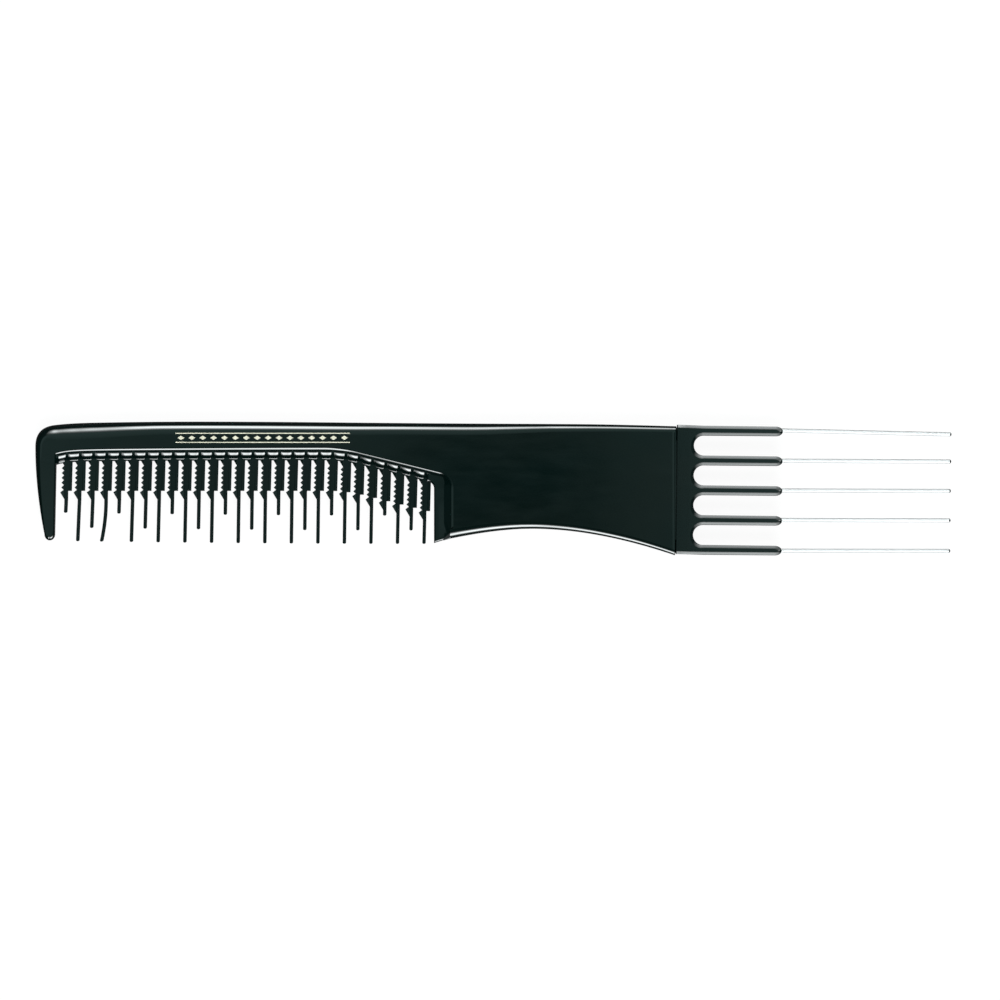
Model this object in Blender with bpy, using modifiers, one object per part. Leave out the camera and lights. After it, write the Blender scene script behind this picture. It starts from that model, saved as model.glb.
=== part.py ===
"""Teasing comb with a five-pin lifting fork, lying flat on its back.

X runs along the comb from the end guard to the pin tips, Y runs up from the tooth tips to the spine
and Z is the thickness. The origin is under the middle of the whole comb, on the surface it lies on.
The comb and the fork are drawn in a frame of their own, which starts at the guard's outer end and at
the highest point of the spine, with the middle of the thickness at zero.
"""
import math

import bmesh
import bpy
from mathutils import Matrix, Vector
from mathutils.geometry import interpolate_bezier

MM = 0.001

# Comb moulding: thickness and rounding
THICKNESS = 4.2 * MM
SPINE_ROUND = 1.7 * MM
HANDLE_TOP_ROUND = 1.4 * MM
HANDLE_BOTTOM_ROUND = 1.15 * MM
GUARD_ROUND = 0.8 * MM
STEP_ROUND = 0.4 * MM
RECESS = 0.5 * MM
ROUND_STEPS = 3
SHARP_ANGLE = math.radians(35)
LEVEL_ANGLE = 0.0001

# How far a curve's handles reach to draw a quarter circle, as a share of its radius
QUARTER_ROUND = 0.55

# Spine, from the guard's end to the handle
SPINE_HEIGHT = 6.28 * MM
CROWN_X = 36.0 * MM
CORNER_WIDTH = 4.3 * MM
CORNER_HEIGHT = 4.7 * MM
CORNER_DROP = 0.8 * MM
CORNER_SLOPE = 0.065
CORNER_PULL_ALONG = 0.67
CORNER_PULL_DOWN = 0.06
CORNER_PULL_UP = 0.62
SLOPE_RUN = 24.2 * MM
SLOPE_BLEND = 7.8 * MM
SLOPE = 0.2475
STEP_SAG = 0.3 * MM
STEP_DROP = 0.75 * MM
STEP_DROP_RUN = 2.4 * MM

# End guard
GUARD_WIDTH = 4.6 * MM
GUARD_LENGTH = 26.3 * MM
GUARD_LEAN = 2.05 * MM
GUARD_TIP_WIDTH = 2.2 * MM
GUARD_TIP_ROUND = 1.35 * MM
GUARD_TIP_THICKNESS = 2.3 * MM
GUARD_FILLET = 0.4 * MM
GUARD_UPPER_PULL = 0.36
GUARD_LOWER_PULL = 0.29
GUARD_LEAN_PULL = 0.56

# Teeth: depths are measured down from the line of the tooth row
TOOTH_COUNT = 28
TOOTH_PITCH = 2.941 * MM
FIRST_TOOTH_SPACE = 2.13 * MM
LAST_TOOTH_SPACE = 2.17 * MM
SHORT_TOOTH = 20.1 * MM
MEDIUM_TOOTH = 23.4 * MM
LONG_TOOTH = 26.35 * MM
TOOTH_ROW_FALL = 0.65 * MM
NEEDLE_WIDTH = 0.71 * MM
NEEDLE_OFFSET = 0.07 * MM
NEEDLE_LEAN = 0.012
NEEDLE_LEAN_AT_END = 0.031
STRAIGHTEST_TOOTH = 17
TOOTH_TIP_THICKNESS = 1.1 * MM
RIDGE_LEFT = 0.12 * MM
RIDGE_RIGHT = 0.64 * MM
RIDGE_PROUD = 0.12 * MM
WEB_SLOPE_START = 0.65 * MM
WEB_HEIGHT = 2.4 * MM
WEB_EDGE_THICKNESS = 1.2 * MM
ROOT_SEAT = 0.6 * MM

# Serrated blade of each tooth
BARB_COUNT = 6
BARB_PITCH = 1.07 * MM
FIRST_BARB = 3.94 * MM
BARB_REACH = 0.9 * MM
HOOK_REACH = 1.26 * MM
BARB_LEAN = 0.03 * MM
VALLEY_REACH = 0.36 * MM
HOOK_SLOPE = 1.6 * MM
BARB_DIP = 0.53
BLADE_GAP = 0.46 * MM
BLADE_TAPER = 0.18 * MM
ROOT_TAPER = 0.15 * MM
SHOULDER_RISE = 0.32 * MM

# Handle
HANDLE_LENGTH = 53.35 * MM
HANDLE_EDGE = 3.5 * MM
HANDLE_EDGE_THICKNESS = 3.0 * MM
HANDLE_EDGE_ROUND = 0.9 * MM
HANDLE_EDGE_INSET = 0.23 * MM
LAST_ROOT_RADIUS = 1.63 * MM
HANDLE_CORNER_DEPTH = 26.9 * MM
HANDLE_FRONT_DEPTH = 25.93 * MM
HANDLE_FRONT_SLOPE = 0.2
HANDLE_BOTTOM_SLOPE = -0.32
HANDLE_TOP_SLOPE = -0.028
WAIST_X = 21.6 * MM
WAIST_DEPTH = 23.73 * MM
NECK_X = 20.95 * MM
NECK_DROP = 0.68 * MM
NECK_SLOPE = -0.008
SEAM_GAP = 0.3 * MM

# Lifting fork
FORK_DROP = 15.22 * MM
FORK_TILT = math.radians(0.6)
FORK_PROUD = 0.15 * MM
FORK_BLOCK = 3.8 * MM
FORK_ROUND = 0.7 * MM
FINGER_TIP_ROUND = 0.5 * MM
FINGER_COUNT = 5
FINGER_PITCH = 6.615 * MM
FINGER_WIDTH = 2.17 * MM
FINGER_TIP_WIDTH = 2.12 * MM
FINGER_LENGTH = 19.7 * MM
FINGER_DOME = 1.5 * MM
FINGER_TIP_THICKNESS = 2.4 * MM

# Tongue of the fork in the handle's pocket, and the posts moulded through it
TONGUE_LENGTH = 12.0 * MM
TONGUE_WIDTH = 18.0 * MM
TONGUE_THICKNESS = 1.4 * MM
POST_COUNT = 2
POST_DIAMETER = 3.0 * MM
POST_SPACING = 10.0 * MM
POST_SIDES = 20
TONGUE_CLEARANCE = 0.3 * MM

# Steel pins
PIN_DIAMETER = 0.9 * MM
PIN_OUT = 37.4 * MM
PIN_HEAD_DIAMETER = 1.7 * MM
PIN_HEAD_LENGTH = 0.9 * MM
PIN_HEAD_INSET = 1.1 * MM
PIN_CLEARANCE = 0.15 * MM
PIN_SIDES = 12

# How far hidden overlaps and trimmed ends run past the surface they meet
OVERLAP = 1.0 * MM
TRIM = 3.0 * MM

# Places worked out from the sizes above
FIRST_TOOTH_X = GUARD_WIDTH + FIRST_TOOTH_SPACE
HEAD_LENGTH = FIRST_TOOTH_X + (TOOTH_COUNT - 1) * TOOTH_PITCH + LAST_TOOTH_SPACE
FACE_START_X = HEAD_LENGTH + HANDLE_EDGE
SLOPE_START_X = HEAD_LENGTH - SLOPE_RUN
FORK_X = HEAD_LENGTH + HANDLE_LENGTH + SEAM_GAP
PLATE_LEVEL = THICKNESS / 2 - RECESS
OUTER_FINGER_Y = (FINGER_COUNT - 1) / 2 * FINGER_PITCH
FORK_HEIGHT = 2 * OUTER_FINGER_Y + FINGER_WIDTH
FINGER_TIP_X = FORK_BLOCK + FINGER_LENGTH
PIN_TIP_X = FINGER_TIP_X + PIN_OUT
FORK_MATRIX = Matrix.Translation((FORK_X, -FORK_DROP, 0)) @ Matrix.Rotation(-FORK_TILT, 4, "Z")
FARTHEST_PIN_TIP = Vector((PIN_TIP_X, OUTER_FINGER_Y, 0))
LOWEST_FINGER_EDGE = Vector((FINGER_TIP_X - FINGER_DOME, -OUTER_FINGER_Y - FINGER_TIP_WIDTH / 2, 0))
TOTAL_LENGTH = (FORK_MATRIX @ FARTHEST_PIN_TIP).x
TOTAL_DEPTH = -(FORK_MATRIX @ LOWEST_FINGER_EDGE).y


def clear_scene():
    for item in list(bpy.data.objects):
        bpy.data.objects.remove(item, do_unlink=True)


def new_collection(name):
    collection = bpy.data.collections.new(name)
    bpy.context.scene.collection.children.link(collection)
    return collection


def add_frame(name, collection, parent, matrix):
    frame = bpy.data.objects.new(name, None)
    collection.objects.link(frame)
    frame.parent = parent
    frame.matrix_local = matrix
    return frame


def add_piece(name, mesh, collection, parent, material):
    piece = bpy.data.objects.new(name, mesh)
    collection.objects.link(piece)
    piece.parent = parent
    mesh.name = name
    mesh.materials.append(material)
    return piece


def add_cutter(name, mesh, parent):
    cutter = bpy.data.objects.new(name, mesh)
    cutters.objects.link(cutter)
    cutter.parent = parent
    cutter.hide_render = True
    cutter.display_type = "WIRE"
    mesh.name = name
    return cutter


def boolean(target, operation, other):
    step = target.modifiers.new(f"{operation.lower()} {other.name}", "BOOLEAN")
    step.operation = operation
    step.solver = "EXACT"
    step.object = other


def plastic(name, color):
    material = bpy.data.materials.new(name)
    material.use_nodes = True
    shader = material.node_tree.nodes["Principled BSDF"]
    shader.inputs["Base Color"].default_value = (*color, 1)
    shader.inputs["Roughness"].default_value = 0.18
    shader.inputs["Metallic"].default_value = 0.0
    return material


def polished_steel(name):
    material = bpy.data.materials.new(name)
    material.use_nodes = True
    shader = material.node_tree.nodes["Principled BSDF"]
    shader.inputs["Base Color"].default_value = (0.78, 0.78, 0.8, 1)
    shader.inputs["Roughness"].default_value = 0.15
    shader.inputs["Metallic"].default_value = 1.0
    return material


# Points of outlines

def bezier(start, start_handle, end_handle, end, steps):
    """Points from start to just before end."""
    knots = [Vector(point).to_3d() for point in (start, start_handle, end_handle, end)]
    points = interpolate_bezier(*knots, steps + 1)
    return [point.to_2d() for point in points[:-1]]


def sloped_curve(start, start_slope, end, end_slope, steps):
    """Points from start to just before end on a curve that has the given slopes there."""
    third = (end[0] - start[0]) / 3
    start_handle = (start[0] + third, start[1] + third * start_slope)
    end_handle = (end[0] - third, end[1] - third * end_slope)
    return bezier(start, start_handle, end_handle, end, steps)


def arc(center, radius_x, radius_y, start_degrees, end_degrees, steps):
    points = []
    for step in range(steps + 1):
        angle = math.radians(start_degrees + (end_degrees - start_degrees) * step / steps)
        reach = Vector((radius_x * math.cos(angle), radius_y * math.sin(angle)))
        points.append(Vector(center) + reach)
    return points


def with_round(points, start_round, end_round):
    """Gives the points of one stretch a rounding that changes steadily along it."""
    change = (end_round - start_round) / max(len(points) - 1, 1)
    return [(point, start_round + change * index) for index, point in enumerate(points)]


def row_y(x):
    """Height of the tooth row, which is level and then slopes down to the handle."""
    run = x - SLOPE_START_X
    if run <= 0:
        return -SPINE_HEIGHT
    if run < SLOPE_BLEND:
        return -SPINE_HEIGHT - SLOPE * run * run / (2 * SLOPE_BLEND)
    return -SPINE_HEIGHT - SLOPE * (run - SLOPE_BLEND / 2)


def step_y(x):
    """Height of the step, which follows the tooth row but sags and then drops towards the guard."""
    share_left = max(1 - x / SLOPE_START_X, 0)
    drop = STEP_DROP * math.exp(-(x - GUARD_WIDTH) / STEP_DROP_RUN)
    return row_y(x) - STEP_SAG * share_left * share_left - drop


def step_places(start):
    """Places along the step from start to the end of its bend, closest together near the guard."""
    places = [start + (SLOPE_START_X - start) * (part / 8) ** 2 for part in range(8)]
    return places + [SLOPE_START_X + SLOPE_BLEND * part / 4 for part in range(5)]


# Meshes from outlines

def inset_directions(points):
    """For each point of a counter-clockwise outline, the way in that keeps both its edges at one distance."""
    directions = []
    for index, point in enumerate(points):
        before = (point - points[index - 1]).normalized()
        after = (points[(index + 1) % len(points)] - point).normalized()
        normal_before = Vector((-before.y, before.x))
        normal_after = Vector((-after.y, after.x))
        directions.append((normal_before + normal_after) / (1 + normal_before.dot(normal_after)))
    return directions


def rounded_plate(outline, half_thickness, steps):
    """A plate with rounded rims, from (point, rounding) pairs and a function for half its thickness."""
    inward = inset_directions([point for point, rounding in outline])
    rings = []
    for side in (-1, 1):
        turns = range(steps + 1) if side == 1 else range(steps, -1, -1)
        for turn_index in turns:
            angle = math.pi / 2 * turn_index / steps
            ring = []
            for (point, rounding), direction in zip(outline, inward):
                place = point + direction * rounding * (1 - math.cos(angle))
                height = half_thickness(point) - rounding * (1 - math.sin(angle))
                ring.append((place.x, place.y, side * height))
            rings.append(ring)
    return loft(rings)


def loft(rings):
    """A solid whose skin runs through rings of like points, closed at both ends."""
    shape = bmesh.new()
    corners = [[shape.verts.new(point) for point in ring] for ring in rings]
    for lower, upper in zip(corners, corners[1:]):
        for index in range(len(lower)):
            following = (index + 1) % len(lower)
            shape.faces.new((lower[index], lower[following], upper[following], upper[index]))
    ends = [shape.faces.new(corners[0][::-1]), shape.faces.new(corners[-1])]
    shape.normal_update()
    bmesh.ops.triangulate(shape, faces=ends)
    bmesh.ops.recalc_face_normals(shape, faces=shape.faces)
    mesh = bpy.data.meshes.new("loft")
    shape.to_mesh(mesh)
    shape.free()
    return mesh


def flat_plate(outlines, thickness):
    """A plate cut square to its faces, from one or more closed outlines that don't touch."""
    curve = bpy.data.curves.new("outline", "CURVE")
    curve.dimensions = "2D"
    curve.fill_mode = "BOTH"
    curve.extrude = thickness / 2
    for outline in outlines:
        spline = curve.splines.new("POLY")
        spline.points.add(len(outline) - 1)
        spline.use_cyclic_u = True
        for point, place in zip(spline.points, outline):
            point.co = (place[0], place[1], 0, 1)
    drawing = bpy.data.objects.new("outline", curve)
    cutters.objects.link(drawing)
    evaluated = drawing.evaluated_get(bpy.context.evaluated_depsgraph_get())
    mesh = bpy.data.meshes.new_from_object(evaluated)
    bpy.data.objects.remove(drawing)
    shape = bmesh.new()
    shape.from_mesh(mesh)
    bmesh.ops.remove_doubles(shape, verts=shape.verts, dist=0.0001 * MM)
    level_edges = [edge for edge in shape.edges if edge.calc_face_angle(math.pi) < LEVEL_ANGLE]
    bmesh.ops.dissolve_edges(shape, edges=level_edges, use_verts=False)
    bmesh.ops.recalc_face_normals(shape, faces=shape.faces)
    shape.to_mesh(mesh)
    shape.free()
    return mesh


def convex_block(point_groups):
    """One convex solid round each group of points."""
    shape = bmesh.new()
    for points in point_groups:
        corners = [shape.verts.new(point) for point in points]
        bmesh.ops.convex_hull(shape, input=corners)
    bmesh.ops.recalc_face_normals(shape, faces=shape.faces)
    mesh = bpy.data.meshes.new("block")
    shape.to_mesh(mesh)
    shape.free()
    return mesh


def box(low, high):
    corners = [(x, y, z) for x in (low[0], high[0]) for y in (low[1], high[1]) for z in (low[2], high[2])]
    return convex_block([corners])


def turned(profile):
    """An open line of (radius, height) points, top to bottom, for a Screw modifier to turn."""
    mesh = bpy.data.meshes.new("profile")
    mesh.from_pydata([(radius, 0, height) for radius, height in profile], [], [])
    mesh.edges.add(len(profile) - 1)
    for index, edge in enumerate(mesh.edges):
        edge.vertices = (index, index + 1)
    return mesh


def turn(piece):
    screw = piece.modifiers.new("turn", "SCREW")
    screw.axis = "Z"
    screw.steps = PIN_SIDES
    screw.render_steps = PIN_SIDES
    screw.use_merge_vertices = True
    screw.merge_threshold = 0.0001 * MM
    screw.use_smooth_shade = True


def smooth(mesh):
    mesh.shade_smooth()
    mesh.set_sharp_from_angle(angle=SHARP_ANGLE)


# The comb moulding

def guard_half_thickness(point):
    """Half the thickness of the spine, handle and guard, which thins towards the guard's tip."""
    below_step = -SPINE_HEIGHT - point.y
    if point.x > GUARD_WIDTH + GUARD_FILLET or below_step <= 0:
        return THICKNESS / 2
    share = below_step / (GUARD_LENGTH - SPINE_HEIGHT)
    return (THICKNESS + (GUARD_TIP_THICKNESS - THICKNESS) * share) / 2


def spine_and_guard_outline():
    """From the neck of the handle, leftwards along the spine, round the end guard and up to the step."""
    neck = Vector((FORK_X - NECK_X, -NECK_DROP))
    crown = Vector((CROWN_X, 0))
    corner = Vector((CORNER_WIDTH, -CORNER_DROP))
    side = Vector((0, -CORNER_DROP - CORNER_HEIGHT))
    outline = with_round(sloped_curve(neck, NECK_SLOPE, crown, 0, 6), HANDLE_TOP_ROUND, SPINE_ROUND)
    outline += with_round(sloped_curve(crown, 0, corner, CORNER_SLOPE, 5), SPINE_ROUND, SPINE_ROUND)
    corner_handle = corner - Vector((CORNER_WIDTH * CORNER_PULL_ALONG, CORNER_HEIGHT * CORNER_PULL_DOWN))
    side_handle = side + Vector((0, CORNER_HEIGHT * CORNER_PULL_UP))
    outline += with_round(bezier(corner, corner_handle, side_handle, side, 7), SPINE_ROUND, SPINE_ROUND)

    tip_center = Vector((GUARD_LEAN + GUARD_TIP_WIDTH / 2, -GUARD_LENGTH + GUARD_TIP_ROUND))
    tip_start = Vector((GUARD_LEAN, tip_center.y))
    guard_drop = side.y - tip_start.y
    side_handle = side - Vector((0, guard_drop * GUARD_UPPER_PULL))
    tip_handle = tip_start + Vector((-GUARD_LEAN * GUARD_LEAN_PULL, guard_drop * GUARD_LOWER_PULL))
    outline += with_round(bezier(side, side_handle, tip_handle, tip_start, 6), SPINE_ROUND, GUARD_ROUND)
    tip = arc(tip_center, GUARD_TIP_WIDTH / 2, GUARD_TIP_ROUND, 180, 360, 8)
    outline += with_round(tip, GUARD_ROUND, GUARD_ROUND)

    step_start = Vector((GUARD_WIDTH + GUARD_FILLET, step_y(GUARD_WIDTH + GUARD_FILLET)))
    guard_top = Vector((GUARD_WIDTH, step_start.y - GUARD_FILLET))
    fillet_low = guard_top + Vector((0, GUARD_FILLET * QUARTER_ROUND))
    fillet_high = step_start - Vector((GUARD_FILLET * QUARTER_ROUND, 0))
    fillet = bezier(guard_top, fillet_low, fillet_high, step_start, 4)
    return outline + with_round(fillet, GUARD_ROUND, STEP_ROUND)


def step_outline():
    """Along the step above the teeth, round its turn and down the side of the handle's full thickness."""
    points = [Vector((x, step_y(x))) for x in step_places(GUARD_WIDTH + GUARD_FILLET)]
    turn_radius = HANDLE_EDGE / 2
    step_end = Vector((FACE_START_X, step_y(FACE_START_X)))
    before_turn = Vector((FACE_START_X - turn_radius, step_y(FACE_START_X - turn_radius)))
    after_turn = step_end - Vector((0, turn_radius))
    turn_handle = before_turn.lerp(step_end, QUARTER_ROUND)
    drop_handle = after_turn.lerp(step_end, QUARTER_ROUND)
    points += bezier(before_turn, turn_handle, drop_handle, after_turn, 5)
    points += [after_turn, Vector((FACE_START_X, -HANDLE_FRONT_DEPTH))]
    return with_round(points, STEP_ROUND, STEP_ROUND)


def body_outline():
    """Spine, guard and handle, counter-clockwise from the top of the seam."""
    end_height = FORK_HEIGHT - 2 * FORK_PROUD
    seam_top = (FORK_MATRIX @ Vector((-SEAM_GAP, end_height / 2, 0))).to_2d()
    seam_bottom = (FORK_MATRIX @ Vector((-SEAM_GAP, -end_height / 2, 0))).to_2d()
    top_end = seam_top + Vector((TRIM, TRIM * HANDLE_TOP_SLOPE))
    bottom_end = seam_bottom + Vector((TRIM, TRIM * HANDLE_BOTTOM_SLOPE))
    neck = Vector((FORK_X - NECK_X, -NECK_DROP))
    face_corner = Vector((FACE_START_X, -HANDLE_FRONT_DEPTH))
    waist = Vector((HEAD_LENGTH + WAIST_X, -WAIST_DEPTH))
    top = [top_end] + sloped_curve(seam_top, HANDLE_TOP_SLOPE, neck, NECK_SLOPE, 4)
    bottom = sloped_curve(face_corner, HANDLE_FRONT_SLOPE, waist, 0, 7)[1:]
    bottom += sloped_curve(waist, 0, seam_bottom, HANDLE_BOTTOM_SLOPE, 9)
    bottom += [seam_bottom, bottom_end]
    outline = with_round(top, HANDLE_TOP_ROUND, HANDLE_TOP_ROUND)
    outline += spine_and_guard_outline() + step_outline()
    return outline + with_round(bottom, HANDLE_BOTTOM_ROUND, HANDLE_BOTTOM_ROUND)


def web_mesh():
    """The web that carries the teeth: level below the step, then sloping to a thin edge at their roots."""
    stations = [GUARD_WIDTH - OVERLAP] + step_places(GUARD_WIDTH) + [FACE_START_X + OVERLAP]
    section = [(-OVERLAP, PLATE_LEVEL), (WEB_SLOPE_START, PLATE_LEVEL), (WEB_HEIGHT, WEB_EDGE_THICKNESS / 2)]
    rings = []
    for x in stations:
        front = [(x, step_y(x) - depth, z) for depth, z in section]
        back = [(x, y, -z) for x, y, z in reversed(front)]
        rings.append(front + back)
    return loft(rings)


def handle_edge_outline():
    """The thinner stretch of the handle beside the last tooth, with the round root of the last gap."""
    root_x = HEAD_LENGTH - LAST_ROOT_RADIUS
    root_y = step_y(root_x) - WEB_HEIGHT
    inside_x = FACE_START_X + 2 * HANDLE_BOTTOM_ROUND
    inside_top = Vector((inside_x, step_y(inside_x) + OVERLAP))
    inside_bottom = Vector((inside_x, -HANDLE_FRONT_DEPTH + HANDLE_BOTTOM_ROUND))
    face_corner = Vector((FACE_START_X, -HANDLE_FRONT_DEPTH + HANDLE_EDGE_INSET))
    points = [inside_top, Vector((root_x, root_y + WEB_HEIGHT + OVERLAP))]
    points += arc((root_x, root_y - LAST_ROOT_RADIUS), LAST_ROOT_RADIUS, LAST_ROOT_RADIUS, 90, 0, 5)
    points += [Vector((HEAD_LENGTH, -HANDLE_CORNER_DEPTH)), face_corner, inside_bottom]
    return with_round(points, HANDLE_EDGE_ROUND, HANDLE_EDGE_ROUND)


def tooth_place(index):
    return FIRST_TOOTH_X + index * TOOTH_PITCH


def tooth_tip_y(index):
    lengths = (SHORT_TOOTH, LONG_TOOTH, MEDIUM_TOOTH, LONG_TOOTH)
    share_left = 1 - index / (TOOTH_COUNT - 1)
    return -lengths[index % 4] - TOOTH_ROW_FALL * (1 - share_left * share_left)


def needle_lean(index):
    """How much a needle leans towards the guard, least a little past the middle of the row."""
    off = (index - STRAIGHTEST_TOOTH) / STRAIGHTEST_TOOTH
    return NEEDLE_LEAN + NEEDLE_LEAN_AT_END * off * off


def tooth_outline(index):
    """One tooth, counter-clockwise: serrated on its left, straight on its right, ending in a needle."""
    x = tooth_place(index)
    top = row_y(x)
    half_needle = NEEDLE_WIDTH / 2
    blade_low = TOOTH_PITCH - HOOK_REACH - BLADE_GAP
    blade_high = blade_low + BLADE_TAPER
    root_left = HOOK_REACH + ROOT_TAPER
    root = top - WEB_HEIGHT + ROOT_SEAT
    points = [(x + blade_high, top + OVERLAP / 2), (x - root_left, top + OVERLAP / 2), (x - root_left, root)]
    for barb in range(BARB_COUNT):
        depth = FIRST_BARB + barb * BARB_PITCH
        barb_lean = BARB_LEAN * barb
        reach = HOOK_REACH if barb == BARB_COUNT - 1 else BARB_REACH + barb_lean
        points.append((x - VALLEY_REACH - barb_lean, top - depth + BARB_PITCH * BARB_DIP))
        points.append((x - reach, top - depth))
    hook = top - FIRST_BARB - (BARB_COUNT - 1) * BARB_PITCH
    shoulder = hook + SHOULDER_RISE
    needle_top = hook - HOOK_SLOPE
    tip = tooth_tip_y(index) + half_needle
    needle_x = x + NEEDLE_OFFSET
    lean = needle_lean(index)
    tip_x = needle_x - lean * (needle_top - tip)
    points.append((needle_x - half_needle, needle_top))
    points += arc((tip_x, tip), half_needle, half_needle, 180, 360, 4)
    points.append((needle_x + half_needle + lean * HOOK_SLOPE, shoulder))
    return points + [(x + blade_low, shoulder), (x + blade_high, root)]


def tooth_bar(index):
    """The tapered eight-sided bar that gives a tooth its narrow ridge and sloping flanks."""
    x = tooth_place(index)
    high = row_y(x) + OVERLAP
    low = -LONG_TOOTH - TOOTH_ROW_FALL - OVERLAP
    reach = HOOK_REACH + BLADE_TAPER
    corners = []
    for y, half in ((high, PLATE_LEVEL + RIDGE_PROUD), (low, TOOTH_TIP_THICKNESS / 2)):
        edge = TOOTH_TIP_THICKNESS / 4
        for z in (-half, half):
            corners += [(x - RIDGE_LEFT, y, z), (x + RIDGE_RIGHT, y, z)]
        for z in (-edge, edge):
            corners += [(x - reach, y, z), (x + reach, y, z)]
    return corners


def build_comb(comb_frame, fork_frame):
    acetal = plastic("comb_acetal", (0.008, 0.012, 0.012))
    plate = rounded_plate(body_outline(), guard_half_thickness, ROUND_STEPS)
    body = add_piece("comb_body", plate, parts, comb_frame, acetal)
    trim_low = (-SEAM_GAP, -FORK_HEIGHT, -THICKNESS)
    trim_high = (2 * TRIM, FORK_HEIGHT, THICKNESS)
    seam_trim = add_cutter("seam_trim", box(trim_low, trim_high), fork_frame)
    pocket = add_cutter("tongue_pocket", tongue_block(TONGUE_CLEARANCE), fork_frame)
    boolean(pocket, "DIFFERENCE", add_cutter("pocket_posts", post_cylinders(POST_DIAMETER), fork_frame))
    web = add_cutter("tooth_web", web_mesh(), comb_frame)
    edge_plate = rounded_plate(handle_edge_outline(), lambda point: HANDLE_EDGE_THICKNESS / 2, ROUND_STEPS)
    edge = add_cutter("handle_edge", edge_plate, comb_frame)
    tooth_shapes = [tooth_outline(index) for index in range(TOOTH_COUNT)]
    teeth = add_cutter("teeth", flat_plate(tooth_shapes, THICKNESS), comb_frame)
    bars = convex_block([tooth_bar(index) for index in range(TOOTH_COUNT)])
    boolean(teeth, "INTERSECT", add_cutter("tooth_bars", bars, comb_frame))
    boolean(body, "DIFFERENCE", seam_trim)
    boolean(body, "DIFFERENCE", pocket)
    boolean(body, "UNION", web)
    boolean(body, "UNION", edge)
    boolean(body, "UNION", teeth)
    smooth(body.data)


# The lifting fork

def tongue_block(clearance):
    half_width = TONGUE_WIDTH / 2 + clearance
    half_thickness = TONGUE_THICKNESS / 2 + clearance
    low = (-TONGUE_LENGTH - clearance, -half_width, -half_thickness)
    return box(low, (OVERLAP, half_width, half_thickness))


def post_cylinders(diameter):
    """The locking posts, or the holes for them, side by side in the middle of the tongue's length."""
    shape = bmesh.new()
    for index in range(POST_COUNT):
        y = (index - (POST_COUNT - 1) / 2) * POST_SPACING
        place = Matrix.Translation((-TONGUE_LENGTH / 2, y, 0))
        bmesh.ops.create_cone(shape, cap_ends=True, segments=POST_SIDES, radius1=diameter / 2,
                              radius2=diameter / 2, depth=THICKNESS, matrix=place)
    mesh = bpy.data.meshes.new("posts")
    shape.to_mesh(mesh)
    shape.free()
    return mesh


def finger_y(index):
    return index * FINGER_PITCH - OUTER_FINGER_Y


def fork_outline():
    """Block and fingers, counter-clockwise from the block's top left corner."""
    slot_radius = (FINGER_PITCH - FINGER_WIDTH) / 2
    dome_x = FINGER_TIP_X - FINGER_DOME
    block = [Vector((-TRIM, FORK_HEIGHT / 2)), Vector((-TRIM, -FORK_HEIGHT / 2))]
    outline = with_round(block, FORK_ROUND, FORK_ROUND)
    for index in range(FINGER_COUNT):
        y = finger_y(index)
        dome = arc((dome_x, y), FINGER_DOME, FINGER_TIP_WIDTH / 2, -90, 90, 8)
        outline += with_round(dome[:5], FORK_ROUND, FINGER_TIP_ROUND)
        outline += with_round(dome[4:], FINGER_TIP_ROUND, FORK_ROUND)[1:]
        if index < FINGER_COUNT - 1:
            slot = arc((FORK_BLOCK + slot_radius, y + FINGER_PITCH / 2), slot_radius, slot_radius, 270, 90, 10)
            outline += with_round(slot, FORK_ROUND, FORK_ROUND)
    return outline


def fork_half_thickness(point):
    """Half the thickness of the fork: level over the block, thinner towards the finger tips."""
    share = max(point.x - FORK_BLOCK, 0) / FINGER_LENGTH
    return (THICKNESS + (FINGER_TIP_THICKNESS - THICKNESS) * share) / 2


def build_fork(fork_frame):
    acetal = plastic("fork_acetal", (0.011, 0.015, 0.015))
    plate = rounded_plate(fork_outline(), fork_half_thickness, ROUND_STEPS)
    fork = add_piece("lift_fork", plate, parts, fork_frame, acetal)
    trim_low = (-2 * TRIM, -FORK_HEIGHT, -THICKNESS)
    trim_high = (0, FORK_HEIGHT, THICKNESS)
    boolean(fork, "DIFFERENCE", add_cutter("fork_end_trim", box(trim_low, trim_high), fork_frame))
    tongue = add_cutter("fork_tongue", tongue_block(0), fork_frame)
    holes = post_cylinders(POST_DIAMETER + 2 * TONGUE_CLEARANCE)
    boolean(tongue, "DIFFERENCE", add_cutter("tongue_holes", holes, fork_frame))
    boolean(fork, "UNION", tongue)
    for index in range(FINGER_COUNT):
        profile = pin_profile(PIN_CLEARANCE, PIN_HEAD_INSET - PIN_CLEARANCE)
        bore = add_cutter(f"pin_bore_{FINGER_COUNT - index}", turned(profile), fork_frame)
        lay_along_finger(bore, index)
        turn(bore)
        boolean(fork, "DIFFERENCE", bore)
    smooth(fork.data)


# The steel pins

def pin_profile(clearance, inner_x):
    """A headed pin, or the bore for it, from its rounded outer end to its head."""
    radius = PIN_DIAMETER / 2 + clearance
    head_radius = PIN_HEAD_DIAMETER / 2 + clearance
    head_end = PIN_HEAD_INSET + PIN_HEAD_LENGTH + clearance
    end = arc((0, PIN_TIP_X - radius), radius, radius, 90, 0, 4)
    return end + [(radius, head_end), (head_radius, head_end), (head_radius, inner_x), (0, inner_x)]


def lay_along_finger(piece, index):
    piece.location = (0, finger_y(index), 0)
    piece.rotation_euler = (0, math.pi / 2, 0)


def build_pins(fork_frame):
    for index in range(FINGER_COUNT):
        name = f"lift_pin_{FINGER_COUNT - index}"
        steel = polished_steel(f"{name}_steel")
        pin = add_piece(name, turned(pin_profile(0, PIN_HEAD_INSET)), parts, fork_frame, steel)
        lay_along_finger(pin, index)
        turn(pin)


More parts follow.
